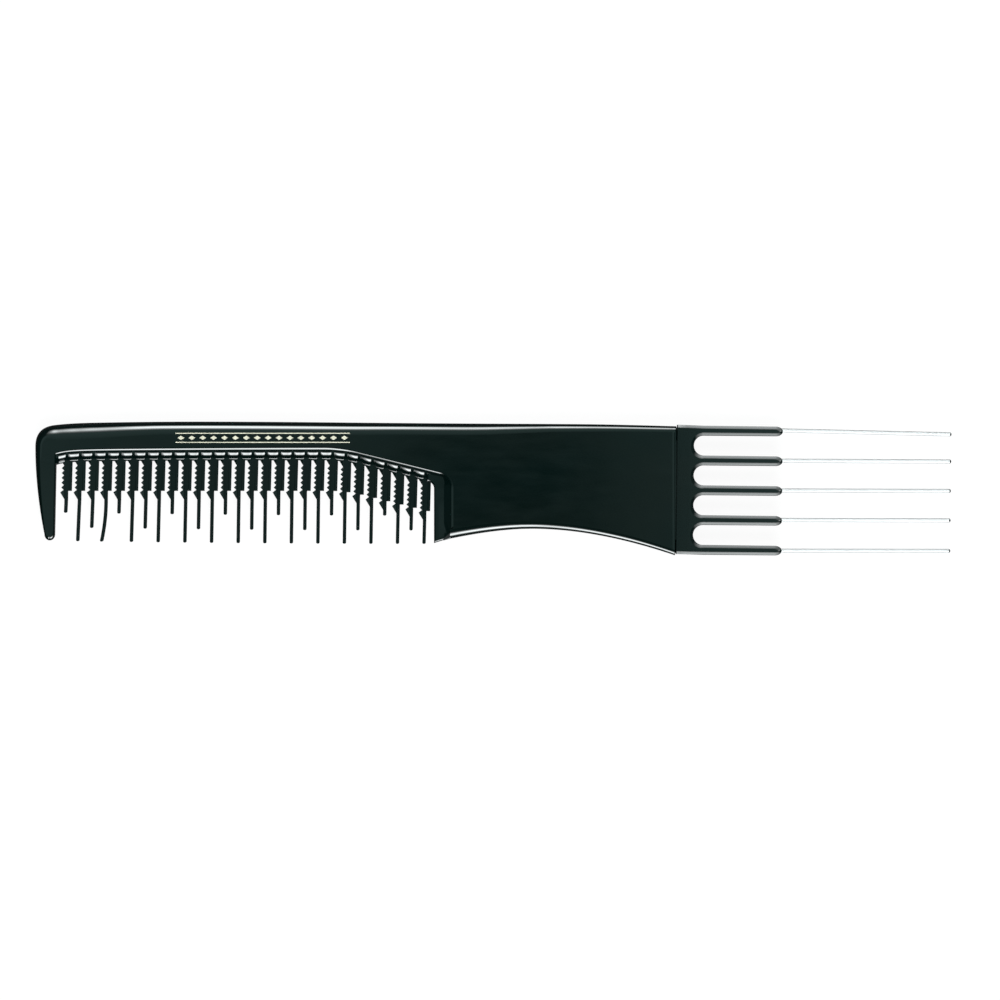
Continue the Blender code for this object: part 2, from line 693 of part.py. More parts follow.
clear_scene()
parts = new_collection("teasing_comb")
cutters = new_collection("cutters")
lying = Matrix.Translation((-TOTAL_LENGTH / 2, TOTAL_DEPTH / 2, THICKNESS / 2))
comb_frame = add_frame("comb_frame", parts, None, lying)
fork_frame = add_frame("fork_frame", parts, comb_frame, FORK_MATRIX)
build_comb(comb_frame, fork_frame)
build_fork(fork_frame)
build_pins(fork_frame)
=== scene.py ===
import math

import bmesh
import bpy
from mathutils import Matrix, Vector
from mathutils.geometry import interpolate_bezier


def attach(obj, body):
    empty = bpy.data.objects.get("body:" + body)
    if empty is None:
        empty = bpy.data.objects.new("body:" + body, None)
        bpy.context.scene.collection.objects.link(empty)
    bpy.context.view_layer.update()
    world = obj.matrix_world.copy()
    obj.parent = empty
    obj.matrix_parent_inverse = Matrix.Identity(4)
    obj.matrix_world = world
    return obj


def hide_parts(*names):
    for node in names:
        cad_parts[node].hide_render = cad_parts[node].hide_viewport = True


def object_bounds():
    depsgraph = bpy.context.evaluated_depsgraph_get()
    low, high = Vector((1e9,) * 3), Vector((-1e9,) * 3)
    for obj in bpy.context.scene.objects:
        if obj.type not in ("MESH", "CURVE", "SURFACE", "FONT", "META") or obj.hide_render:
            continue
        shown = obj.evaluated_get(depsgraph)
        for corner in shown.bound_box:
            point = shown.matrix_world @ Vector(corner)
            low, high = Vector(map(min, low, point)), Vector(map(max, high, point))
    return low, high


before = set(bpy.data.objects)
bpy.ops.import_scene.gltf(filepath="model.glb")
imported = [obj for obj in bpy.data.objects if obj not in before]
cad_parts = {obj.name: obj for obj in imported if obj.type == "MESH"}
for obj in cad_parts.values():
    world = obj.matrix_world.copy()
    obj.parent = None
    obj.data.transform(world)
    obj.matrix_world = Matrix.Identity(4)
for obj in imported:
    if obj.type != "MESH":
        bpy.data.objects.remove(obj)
cad_low, cad_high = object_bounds()


# Comb moulding: one piece of polished black acetal, injection moulded.
# Spine, end guard and handle are a plate with rolled rims. The web below the step carries the teeth,
# and the handle thins to a flat edge beside the last tooth.

MM = 0.001
FACE_THICKNESS = 4.17 * MM

# Rims along the spine and under the handle: pairs of place along the comb and size, in millimetres
TOP_RIM = ((0, 2.05), (4.5, 2.25), (9, 2.37), (14, 2.3), (20, 2.08), (27, 1.92), (48, 1.92), (70, 1.9),
           (80, 1.75), (98, 1.7), (108, 1.4), (114, 1.2), (124, 1.1), (142, 0.88))
LOWER_RIM = ((92, 1.42), (103, 1.22), (112, 1.1), (119, 1.0), (126, 0.93), (132, 0.9), (142, 0.75))
RIM_ROLL = 0.95
RIM_TAIL = 0.7

# The other rims: how far in, how far down, share of the tail, first angle in degrees, curve of the tail
CORNER_RIM = (2.2 * MM, 2.1 * MM, RIM_TAIL, 0, 2)
SIDE_RIM = (1.3 * MM, 1.3 * MM, 0.4, 0, 2)
GUARD_RIM = (0.35 * MM, 0.35 * MM, 0.15, 0, 2)
GUARD_TIP_RIM = (1.0 * MM, 0.9 * MM, 0.15, 0, 2)
STEP_START_RIM = (0.33 * MM, 0.33 * MM, 0.5, 44, 2)
STEP_RIM = (0.6 * MM, 0.6 * MM, 0.5, 44, 2)
STEP_END_RIM = (0.42 * MM, 0.42 * MM, 0.5, 44, 2)
TURN_RIM = (0.5 * MM, 0.35 * MM, 0.9, 0, 2)
EDGE_END_RIM = (0.12 * MM, 0.12 * MM, 0, 0, 2)
ROLL_STEPS = 9
ROLL_END = 80
TAIL_STEPS = 4

# Spine, step and end guard
SPINE_HEIGHT = 6.28 * MM
STEP_SAG = 0.3 * MM
STEP_DROP = 0.75 * MM
STEP_DROP_RUN = 2.4 * MM
CROWN_X = 36.0 * MM
CORNER_WIDTH = 4.3 * MM
CORNER_HEIGHT = 4.75 * MM
CORNER_DROP = 0.75 * MM
CORNER_SLOPE = 0.115
CORNER_PULL_ALONG = 0.67
CORNER_PULL_DOWN = 0.07
CORNER_PULL_UP = 0.62
SHOULDER_X = 12.5 * MM
SHOULDER_DROP = 0.255 * MM
SHOULDER_SLOPE = 0.022
SLOPE_RUN = 24.2 * MM
SLOPE_BLEND = 7.8 * MM
SLOPE = 0.2475
GUARD_WIDTH = 4.6 * MM
GUARD_LENGTH = 26.3 * MM
GUARD_LEAN = 2.05 * MM
GUARD_LEAN_PULL = 0.56
GUARD_UPPER_PULL = 0.36
GUARD_LOWER_PULL = 0.29
GUARD_TIP_WIDTH = 2.2 * MM
GUARD_TIP_ROUND = 1.35 * MM
GUARD_TIP_THICKNESS = 4.1 * MM
GUARD_TWIST = 0.08
GUARD_FILLET = 0.4 * MM
GUARD_RUNG_END = 0.2 * MM
STEP_PARTS = 24
BEND_PARTS = 16

# How far a curve's pulls reach to draw a quarter circle, as a share of its radius
QUARTER_ROUND = 0.55

TOOTH_COUNT = 28
TOOTH_PITCH = 2.941 * MM
FIRST_TOOTH_X = GUARD_WIDTH + 2.13 * MM
HEAD_LENGTH = FIRST_TOOTH_X + (TOOTH_COUNT - 1) * TOOTH_PITCH + 2.17 * MM
SLOPE_START_X = HEAD_LENGTH - SLOPE_RUN

# Handle, down to the seam
HANDLE_LENGTH = 53.35 * MM
HANDLE_EDGE = 3.5 * MM
HANDLE_EDGE_THICKNESS = 2.9 * MM
HANDLE_EDGE_RIM = (0.4 * MM, 0.4 * MM, 0.2, 0, 2)
HANDLE_EDGE_TILT = 0.005
HANDLE_CORNER_DEPTH = 26.9 * MM
HANDLE_FRONT_DEPTH = 25.93 * MM
HANDLE_FRONT_SLOPE = 0.2
HANDLE_TOP_SLOPE = -0.028
HANDLE_BOTTOM_SLOPE = -0.32
LAST_ROOT_RADIUS = 1.63 * MM
TURN_ALONG = 2.2 * MM
TURN_DOWN = 2.6 * MM
TURN_RIM_LEFT = 0.25
EDGE_END_LEFT = 0.14
WAIST_X = HEAD_LENGTH + 21.6 * MM
WAIST_DEPTH = 23.73 * MM
NECK_DROP = 0.57 * MM
NECK_SLOPE = -0.008
BACK_X = 92.0 * MM
BACK_DROP = 0.4 * MM
BACK_SLOPE = -0.0065
SEAM_GAP = 0.3 * MM
SEAM_X = -0.04 * MM
SEAM_HALF_GAP = 0.1 * MM
SEAM_ROUND = 0.2 * MM
END_DROP = 0.17 * MM
END_FALL_RUN = 1.0 * MM
END_FALL = 0.07 * MM
STRAIGHT_END = 2.0 * MM
FACE_START_X = HEAD_LENGTH + HANDLE_EDGE
FORK_X = HEAD_LENGTH + HANDLE_LENGTH + SEAM_GAP
NECK_X = FORK_X - 20.95 * MM

# Distances from the seam, in millimetres, at which the outline has a point
END_STEPS = (0, 0.02, 0.05, 0.09, 0.14, 0.2, 0.3, 0.45, 0.7, 1.0)

# Places along the comb, in millimetres, where its faces are parted from the spine down
HEAD_RUNGS = (14, 26, 40, 52, 66, 84)
HANDLE_RUNGS = (98, 108, 118, 130)

# How far hidden overlaps and trimmed ends run past the surface they meet
TRIM = 3.0 * MM
OVERLAP = 1.0 * MM

# The fork's place in the comb
FORK_DROP = 15.15 * MM
FORK_TILT = math.radians(0.6)
FINGER_COUNT = 5
FINGER_PITCH = 6.6 * MM
FINGER_WIDTH = 2.17 * MM
OUTER_FINGER_Y = (FINGER_COUNT - 1) / 2 * FINGER_PITCH
FORK_HEIGHT = 2 * OUTER_FINGER_Y + FINGER_WIDTH

comb_place = Matrix.Translation((cad_low.x, cad_high.y, FACE_THICKNESS / 2))
fork_in_comb = Matrix.Translation((FORK_X, -FORK_DROP, 0)) @ Matrix.Rotation(-FORK_TILT, 4, "Z")
fork_place = comb_place @ fork_in_comb


def bezier(start, start_pull, end_pull, end, steps):
    """Points from start to just before end."""
    knots = [Vector(point).to_3d() for point in (start, start_pull, end_pull, end)]
    return [point.to_2d() for point in interpolate_bezier(*knots, steps + 1)[:-1]]


def sloped_curve(start, start_slope, end, end_slope, steps):
    """Points from start to just before end on a curve that has the given slopes there."""
    third = (end[0] - start[0]) / 3
    start_pull = (start[0] + third, start[1] + third * start_slope)
    end_pull = (end[0] - third, end[1] - third * end_slope)
    return bezier(start, start_pull, end_pull, end, steps)


def arc(center, radius_x, radius_y, start_degrees, end_degrees, steps):
    points = []
    for step in range(steps + 1):
        angle = math.radians(start_degrees + (end_degrees - start_degrees) * step / steps)
        points.append(Vector(center) + Vector((radius_x * math.cos(angle), radius_y * math.sin(angle))))
    return points


def along(start, slope, run):
    """The place at a run along X from start, on a line with the given slope."""
    return start + Vector((run, slope * run))


def rimmed(points, start_rim, end_rim):
    """Gives a stretch of outline its rim, which changes evenly from start to end."""
    last = max(len(points) - 1, 1)
    start, end = Vector(start_rim), Vector(end_rim)
    return [(point, start.lerp(end, index / last)) for index, point in enumerate(points)]


def rimmed_halves(points, start_rim, middle_rim, end_rim):
    """Gives a stretch of outline its rim, which has its own size at the middle point."""
    middle = len(points) // 2
    first_half = rimmed(points[:middle + 1], start_rim, middle_rim)
    return first_half + rimmed(points[middle:], middle_rim, end_rim)[1:]


def size_at(knots, place):
    """Size at a place, in step with pairs of (place, size) in millimetres."""
    for (first, first_size), (second, second_size) in zip(knots, knots[1:]):
        if place <= second * MM:
            share = max(place / MM - first, 0) / (second - first)
            return (first_size + (second_size - first_size) * share) * MM
    return knots[-1][1] * MM


def long_rim(points, knots):
    """The rim along the spine or the handle, which changes with the place along the comb."""
    sizes = [size_at(knots, point.x) for point in points]
    return [(point, Vector((size, size * RIM_ROLL, RIM_TAIL, 0, 2))) for point, size in zip(points, sizes)]


def roll_profile(tail, first_angle, tail_curve):
    """Steps of a rim, inwards and down, as shares of its size.

    A roll comes first, and then a tail that eases into the face or runs straight.
    """
    first, last = math.radians(first_angle), math.radians(ROLL_END)
    radius = (1 - math.cos(last)) / (math.cos(first) - math.cos(last))
    tail_drop = math.tan(math.radians(90 - ROLL_END)) / 2
    steps = []
    for step in range(ROLL_STEPS + 1):
        angle = first + (last - first) * step / ROLL_STEPS
        inwards = radius * (math.cos(first) - math.cos(angle))
        steps.append((inwards, radius * (math.sin(last) - math.sin(angle)) + tail_drop * tail))
    roll_in = steps[-1][0]
    for step in range(1, TAIL_STEPS + 1):
        left = 1 - step / TAIL_STEPS
        steps.append((roll_in + tail * (1 - left), tail_drop * tail * left ** tail_curve))
    return steps


def inward_ways(points):
    """The way in from each point, halfway between the two edges that meet there."""
    ways = []
    for index, point in enumerate(points):
        before = (point - points[index - 1]).normalized()
        after = (points[(index + 1) % len(points)] - point).normalized()
        normal_before = Vector((-before.y, before.x))
        normal_after = Vector((-after.y, after.x))
        ways.append((normal_before + normal_after) / (1 + normal_before.dot(normal_after)))
    return ways


def rolled_plate(outline, half_thickness, rungs=(), set_ways=()):
    """A plate whose rims roll over to both faces; rungs are pairs of points that part its faces."""
    ways = inward_ways([point for point, rim in outline])
    for number, way in set_ways:
        ways[number] = way
    profiles = [roll_profile(rim[2], rim[3], rim[4]) for point, rim in outline]
    shape = bmesh.new()
    rings = []
    count = len(profiles[0])
    for side, numbers in ((-1, reversed(range(count))), (1, range(count))):
        for number in numbers:
            ring = []
            for (point, rim), way, profile in zip(outline, ways, profiles):
                inwards, down = profile[number]
                place = point + way * rim[0] * inwards
                height = half_thickness(place) - rim[1] * down
                ring.append(shape.verts.new((place.x, place.y, side * height)))
            rings.append(ring)
    skin_rings(shape, rings)
    for ring in (rings[0], rings[-1]):
        for first, second in rungs:
            part_face(ring[first], ring[second])
    return shape


def skin_rings(shape, rings):
    for lower, upper in zip(rings, rings[1:]):
        for index in range(len(lower)):
            following = (index + 1) % len(lower)
            shape.faces.new((lower[index], lower[following], upper[following], upper[index]))
    shape.faces.new(rings[0][::-1])
    shape.faces.new(rings[-1])
    shape.normal_update()


def part_face(first, second):
    """Splits the large face that two corners share."""
    for face in first.link_faces:
        if second in face.verts and len(face.verts) > 4:
            bmesh.utils.face_split(face, first, second)
            return


def cut_end(shape, place, toward):
    """Cuts a shape off square at a place and closes it."""
    everything = shape.verts[:] + shape.edges[:] + shape.faces[:]
    cut = bmesh.ops.bisect_plane(shape, geom=everything, plane_co=place, plane_no=toward, clear_outer=True)
    edges = [item for item in cut["geom_cut"] if isinstance(item, bmesh.types.BMEdge)]
    bmesh.ops.edgeloop_fill(shape, edges=edges)


def as_object(name, shape, place):
    bmesh.ops.recalc_face_normals(shape, faces=shape.faces)
    mesh = bpy.data.meshes.new(name)
    shape.to_mesh(mesh)
    shape.free()
    mesh.transform(place)
    piece = bpy.data.objects.new(name, mesh)
    bpy.context.scene.collection.objects.link(piece)
    return piece


def worked_mesh(piece):
    """The piece's mesh with its modifiers applied."""
    bpy.context.view_layer.update()
    made = bpy.data.meshes.new_from_object(piece.evaluated_get(bpy.context.evaluated_depsgraph_get()))
    piece.modifiers.clear()
    piece.data = made
    return made


def join_solid(piece, other, operation):
    step = piece.modifiers.new(other.name, "BOOLEAN")
    step.operation = operation
    step.solver = "EXACT"
    step.object = other
    worked_mesh(piece)
    bpy.data.objects.remove(other)


def finish_surface(piece, sharp_degrees):
    piece.data.shade_smooth()
    piece.data.set_sharp_from_angle(angle=math.radians(sharp_degrees))
    even = piece.modifiers.new("even normals", "WEIGHTED_NORMAL")
    even.keep_sharp = True
    even.weight = 70


def row_y(x):
    """Height of the tooth row, which slopes down to the handle."""
    run = x - SLOPE_START_X
    if run <= 0:
        return -SPINE_HEIGHT
    if run < SLOPE_BLEND:
        return -SPINE_HEIGHT - SLOPE * run * run / (2 * SLOPE_BLEND)
    return -SPINE_HEIGHT - SLOPE * (run - SLOPE_BLEND / 2)


def step_y(x):
    """Height of the step, which follows the tooth row but sags and drops towards the guard."""
    left_over = max((SLOPE_START_X - x) / SLOPE_START_X, 0)
    drop = STEP_DROP * math.exp(-(x - GUARD_WIDTH) / STEP_DROP_RUN)
    return row_y(x) - STEP_SAG * left_over * left_over - drop


def rolled_down(before_seam):
    """How far a face has rolled down at a distance before the seam."""
    left = 1 - min(max(before_seam, 0) / SEAM_ROUND, 1)
    return SEAM_ROUND * (1 - math.sqrt(1 - left * left))


def comb_half_thickness(place):
    """Half the thickness: it rolls down at the seam, and thins along the guard to its tip."""
    before_seam = SEAM_X - SEAM_HALF_GAP - (fork_in_comb.inverted() @ place.to_3d()).x
    if before_seam < END_FALL_RUN:
        share = min(1 - before_seam / END_FALL_RUN, 1)
        return FACE_THICKNESS / 2 - END_FALL * share * share - rolled_down(before_seam)
    below = guard_top.y - place.y
    if place.x > GUARD_WIDTH + GUARD_FILLET + OVERLAP or below <= 0:
        return FACE_THICKNESS / 2
    share = below / (GUARD_LENGTH + guard_top.y)
    half = (FACE_THICKNESS + (GUARD_TIP_THICKNESS - FACE_THICKNESS) * share) / 2
    return half - GUARD_TWIST * share * (GUARD_WIDTH - place.x)


def number_near(outline, numbers, x):
    return min(numbers, key=lambda number: abs(outline[number][0].x - x))


seam_end = SEAM_X - SEAM_HALF_GAP
seam_top = (fork_in_comb @ Vector((seam_end, FORK_HEIGHT / 2 - END_DROP, 0))).to_2d()
seam_bottom = (fork_in_comb @ Vector((seam_end, -FORK_HEIGHT / 2 - END_DROP, 0))).to_2d()
neck = Vector((NECK_X, -NECK_DROP))
back = Vector((BACK_X, -BACK_DROP))
crown = Vector((CROWN_X, 0))
shoulder = Vector((SHOULDER_X, -SHOULDER_DROP))
corner = Vector((CORNER_WIDTH, -CORNER_DROP))
outer_side = Vector((0, -CORNER_DROP - CORNER_HEIGHT))
tip_center = Vector((GUARD_LEAN + GUARD_TIP_WIDTH / 2, -GUARD_LENGTH + GUARD_TIP_ROUND))
tip_start = Vector((GUARD_LEAN, tip_center.y))
step_start = Vector((GUARD_WIDTH + GUARD_FILLET, step_y(GUARD_WIDTH + GUARD_FILLET)))
guard_top = Vector((GUARD_WIDTH, step_start.y - GUARD_FILLET))

# From the seam along the top to the corner above the guard
top_line = [along(seam_top, HANDLE_TOP_SLOPE, TRIM)]
top_line += [along(seam_top, HANDLE_TOP_SLOPE, -step * MM) for step in END_STEPS]
straight_end = along(seam_top, HANDLE_TOP_SLOPE, -STRAIGHT_END)
top_line += sloped_curve(straight_end, HANDLE_TOP_SLOPE, neck, NECK_SLOPE, steps=12)
top_line += sloped_curve(neck, NECK_SLOPE, back, BACK_SLOPE, steps=8)
top_line += sloped_curve(back, BACK_SLOPE, crown, 0, steps=16)
top_line += sloped_curve(crown, 0, shoulder, SHOULDER_SLOPE, steps=12)
top_line += sloped_curve(shoulder, SHOULDER_SLOPE, corner, CORNER_SLOPE, steps=10)
outline = long_rim(top_line, TOP_RIM)

# Round the corner, down the guard's outer side and round its tip
corner_pull = corner - Vector((CORNER_WIDTH * CORNER_PULL_ALONG, CORNER_HEIGHT * CORNER_PULL_DOWN))
side_pull = outer_side + Vector((0, CORNER_HEIGHT * CORNER_PULL_UP))
outline += rimmed(bezier(corner, corner_pull, side_pull, outer_side, steps=20), CORNER_RIM, SIDE_RIM)
guard_drop = outer_side.y - tip_start.y
side_pull = outer_side - Vector((0, guard_drop * GUARD_UPPER_PULL))
tip_pull = tip_start + Vector((-GUARD_LEAN * GUARD_LEAN_PULL, guard_drop * GUARD_LOWER_PULL))
guard_outside = bezier(outer_side, side_pull, tip_pull, tip_start, steps=24)
guard_first = len(outline)
outline += rimmed(guard_outside, SIDE_RIM, GUARD_RIM)
guard_tip = arc(tip_center, GUARD_TIP_WIDTH / 2, GUARD_TIP_ROUND, 180, 360, steps=20)
outline += rimmed_halves(guard_tip, GUARD_RIM, GUARD_TIP_RIM, GUARD_RIM)

# Up the guard's inner side, whose points are level with those of its outer side
tip_end = Vector((GUARD_LEAN + GUARD_TIP_WIDTH, tip_center.y))
guard_inside = []
rungs = []
for number in range(len(guard_outside) - 1, 0, -1):
    level = guard_outside[number].y
    if level < guard_top.y - GUARD_RUNG_END:
        share = (level - tip_end.y) / (guard_top.y - tip_end.y)
        rungs.append((guard_first + number, len(outline) + len(guard_inside)))
        guard_inside.append(Vector((tip_end.x + (guard_top.x - tip_end.x) * share, level)))
outline += rimmed(guard_inside, GUARD_RIM, GUARD_RIM)
fillet_low = guard_top + Vector((0, GUARD_FILLET * QUARTER_ROUND))
fillet_high = step_start - Vector((GUARD_FILLET * QUARTER_ROUND, 0))
fillet = bezier(guard_top, fillet_low, fillet_high, step_start, steps=12)
outline += rimmed(fillet, GUARD_RIM, STEP_START_RIM)

# Along the step above the teeth, with its points closest together near the guard
step_run = SLOPE_START_X - step_start.x
step_places = [step_start.x + step_run * (part / STEP_PARTS) ** 2 for part in range(STEP_PARTS)]
step_places += [SLOPE_START_X + SLOPE_BLEND * part / BEND_PARTS for part in range(BEND_PARTS + 1)]
step_first = len(outline)
step_line = [Vector((x, step_y(x))) for x in step_places]
outline += rimmed(step_line[:STEP_PARTS], STEP_START_RIM, STEP_RIM)
outline += rimmed(step_line[STEP_PARTS:], STEP_RIM, STEP_END_RIM)

# Round the step's turn and down beside the thin edge
step_end = Vector((FACE_START_X, step_y(FACE_START_X)))
before_turn = Vector((FACE_START_X - TURN_ALONG, step_y(FACE_START_X - TURN_ALONG)))
after_turn = step_end - Vector((0, TURN_DOWN))
turn_pull = before_turn.lerp(step_end, QUARTER_ROUND)
drop_pull = after_turn.lerp(step_end, QUARTER_ROUND)
turn_points = bezier(before_turn, turn_pull, drop_pull, after_turn, steps=12)
outline += rimmed(turn_points, STEP_END_RIM, TURN_RIM)
face_corner = Vector((FACE_START_X, -HANDLE_FRONT_DEPTH))
outline += rimmed([after_turn, face_corner.lerp(after_turn, TURN_RIM_LEFT)], TURN_RIM, TURN_RIM)
outline += rimmed([face_corner.lerp(after_turn, EDGE_END_LEFT)], EDGE_END_RIM, EDGE_END_RIM)

# Along the handle's underside to the seam
waist = Vector((WAIST_X, -WAIST_DEPTH))
straight_start = along(seam_bottom, HANDLE_BOTTOM_SLOPE, -STRAIGHT_END)
lower_line = sloped_curve(face_corner, HANDLE_FRONT_SLOPE, waist, 0, steps=8)
lower_line += sloped_curve(waist, 0, straight_start, HANDLE_BOTTOM_SLOPE, steps=30)
lower_first = len(outline)
lower_end = lower_first + len(lower_line)
lower_line += [along(seam_bottom, HANDLE_BOTTOM_SLOPE, -step * MM) for step in reversed(END_STEPS)]
lower_line += [along(seam_bottom, HANDLE_BOTTOM_SLOPE, TRIM)]
outline += long_rim(lower_line, LOWER_RIM)

# Rungs from the top line to the points below them
rungs += [(len(END_STEPS) - number, lower_end + number) for number in range(len(END_STEPS))]
top_numbers = range(len(END_STEPS) + 1, len(top_line))
below_head, below_handle = range(step_first, lower_first), range(lower_first, lower_end)
for places, low_numbers in ((HEAD_RUNGS, below_head), (HANDLE_RUNGS, below_handle)):
    for place in places:
        top_number = number_near(outline, top_numbers, place * MM)
        rungs.append((top_number, number_near(outline, low_numbers, place * MM)))

# At the handle's front corner the rim goes almost straight up, to run on to the slope
corner_way = Vector((0.08, 1))
plate_shape = rolled_plate(outline, comb_half_thickness, rungs, ((lower_first, corner_way),))
cut_end(plate_shape, fork_in_comb @ Vector((seam_end, 0, 0)), fork_in_comb.to_3x3() @ Vector((1, 0, 0)))
comb = as_object("comb_moulding", plate_shape, comb_place)

# The web is level under the step, then rolls down between the teeth to a thin parting edge.
# Its tilts are pairs of depth below the step in millimetres and slope in degrees, and its rises are
# pairs of distance past a tooth and height, in millimetres.
WEB_LEVEL = 1.5 * MM
WEB_TILTS = ((-1.0, 0), (0.15, 1), (0.35, 4), (0.53, 11), (0.75, 20), (0.96, 29), (1.14, 37), (1.25, 42),
             (1.86, 42), (1.89, 10.4), (2.3, 10.2))
WEB_HEIGHT = WEB_TILTS[-1][0] * MM
WEB_RISE_START = 0.2 * MM
WEB_RISES = ((-0.45, 0), (0, 0.1), (0.7, 0.1), (1.15, 0))
WEB_LEADS = (1.6, 1.0)


def web_section():
    """Depth below the step and half thickness, drawn out from the slope at each depth."""
    height = WEB_LEVEL
    section = [(WEB_TILTS[0][0] * MM, height)]
    for (depth, tilt), (next_depth, next_tilt) in zip(WEB_TILTS, WEB_TILTS[1:]):
        height -= (next_depth - depth) * MM * math.tan(math.radians((tilt + next_tilt) / 2))
        section.append((next_depth * MM, height))
    return section


# Places along the web, each with the rise of its slope, which is higher behind a tooth
web_places = [(x, 0) for x in (GUARD_WIDTH - OVERLAP / 2, GUARD_WIDTH)]
web_places += [(FIRST_TOOTH_X - lead * MM, 0) for lead in WEB_LEADS]
for index in range(TOOTH_COUNT):
    for after, rise in WEB_RISES:
        web_places.append((FIRST_TOOTH_X + index * TOOTH_PITCH + after * MM, rise * MM))
web_places.append((FACE_START_X + OVERLAP, 0))
web = bmesh.new()
rings = []
for x, rise in web_places:
    front = []
    for depth, height in web_section():
        lift = rise if depth > WEB_RISE_START else 0
        front.append((x, step_y(x) - depth + lift, height))
    back = [(x, y, -height) for x, y, height in reversed(front)]
    rings.append([web.verts.new(place) for place in front + back])
skin_rings(web, rings)
join_solid(comb, as_object("web", web, comb_place), "UNION")

# The handle's thin edge, with the round root of the last gap
EDGE_INSIDE_RUN = 2.5 * MM
EDGE_INSIDE_RISE = 1.4 * MM
EDGE_CORNER_RISE = 0.12 * MM
ROOT_BELOW_WEB = 0.02 * MM


def edge_half_thickness(place):
    return HANDLE_EDGE_THICKNESS / 2 + HANDLE_EDGE_TILT * (place.x - HEAD_LENGTH)


root_x = HEAD_LENGTH - LAST_ROOT_RADIUS
root_y = step_y(root_x) - WEB_HEIGHT - ROOT_BELOW_WEB
root_center = Vector((root_x, root_y - LAST_ROOT_RADIUS))
inside_x = FACE_START_X + EDGE_INSIDE_RUN
edge_points = [Vector((inside_x, step_y(inside_x) + OVERLAP))]
edge_points += [Vector((root_x, root_y + WEB_HEIGHT + OVERLAP))]
edge_points += arc(root_center, LAST_ROOT_RADIUS, LAST_ROOT_RADIUS, 90, 0, steps=14)
edge_points += [Vector((HEAD_LENGTH, -HANDLE_CORNER_DEPTH))]
edge_points += [Vector((FACE_START_X, -HANDLE_FRONT_DEPTH + EDGE_CORNER_RISE))]
edge_points += [Vector((inside_x, -HANDLE_FRONT_DEPTH + EDGE_INSIDE_RISE))]
edge_outline = rimmed(edge_points, HANDLE_EDGE_RIM, HANDLE_EDGE_RIM)
edge_shape = rolled_plate(edge_outline, edge_half_thickness)
join_solid(comb, as_object("handle_edge", edge_shape, comb_place), "UNION")

# A slope leads from the thin edge up to the handle's face and dies out along the step
SLOPE_WIDTH = 1.4 * MM
SLOPE_SEAT = 0.2 * MM
SLOPE_LOW = HANDLE_EDGE_THICKNESS / 2 - 0.02 * MM
SLOPE_HIGH = FACE_THICKNESS / 2 - 0.12 * MM
SLOPE_END_HIGH = SLOPE_LOW - 0.2 * MM
SLOPE_END_DROP = 0.4 * MM
SLOPE_LEVELS = (0, 0.5, 0.89, 1)
off_step = Vector((-0.24, -1)).normalized()
off_drop = Vector((-1, 0))
slope_line = turn_points + [after_turn.lerp(face_corner, level) for level in SLOPE_LEVELS]
slope_shape = bmesh.new()
rings = []
for number, point in enumerate(slope_line):
    share = min(number / (len(turn_points) - 1), 1)
    way = off_drop.slerp(off_step, 1 - share) if share < 1 else off_drop
    inner = point - way * SLOPE_SEAT
    outer = point + way * SLOPE_WIDTH * share
    low, high = SLOPE_LOW, SLOPE_HIGH
    if number == len(slope_line) - 1:
        high = SLOPE_END_HIGH
        outer.y -= SLOPE_END_DROP
    section = [(*inner, high), (*outer, low), (*outer, -low), (*inner, -high)]
    rings.append([slope_shape.verts.new(place) for place in section])
skin_rings(slope_shape, rings)
join_solid(comb, as_object("strip_slope", slope_shape, comb_place), "UNION")

# Each tooth has a serrated blade on its left, a straight back on its right and a round-ended needle
SHORT_TOOTH = 20.28 * MM
MEDIUM_TOOTH = 23.55 * MM
LONG_TOOTH = 26.53 * MM
TOOTH_ROW_FALL = 0.65 * MM
NEEDLE_WIDTH = 0.76 * MM
NEEDLE_OFFSET = 0.07 * MM
NEEDLE_PARTS = 6
NEEDLE_BACK_TAPER = 0.03 * MM
NEEDLE_TIP_SHARE = 0.8
NEEDLE_BENDS = 10
NEEDLE_BEND_SPACING = 0.9 * MM
NEEDLE_LEAN = 0.012
NEEDLE_LEAN_AT_END = 0.031
STRAIGHTEST_TOOTH = 17
BENT_TOOTH = 3
BENT_TOOTH_LEAN = 0.165
BENT_TOOTH_RUN = 14 * MM

# Sections of the bars that shape a tooth: pairs of place across in millimetres and share of the thickness
BUTTRESS_TOP = 1.66 * MM
BUTTRESS_RUN = 0.75 * MM
BUTTRESS_END = 1.95 * MM
BUTTRESS_END_HEIGHT = 0.5 * MM
BUTTRESS_HIGH = ((0, 0), (0.04, 1), (0.64, 1), (0.68, 0))
BUTTRESS_LOW = ((-0.26, 0), (-0.22, 1), (0.92, 1), (0.96, 0))
GUARD_BUTTRESS = ((-0.5, 1), (0.6, 1), (0.65, 0))
RIDGE_START = 1.3 * MM
RIDGE_TOP = 0.76 * MM
RIDGE_HIGH = ((-0.26, 0), (-0.2, 1), (0.84, 1), (0.9, 0))
RIDGE_LOW = ((-0.54, 0), (-0.25, 1), (0.38, 1), (0.66, 0))
BLADE_HALF = 0.5 * MM
BLADE_SHARES = ((-1.43, 0.8), (-0.13, 1), (0.66, 1), (1.5, 1))
BLADE_TIP_SHARE = 0.9
TOOTH_TIP_THICKNESS = 1.1 * MM

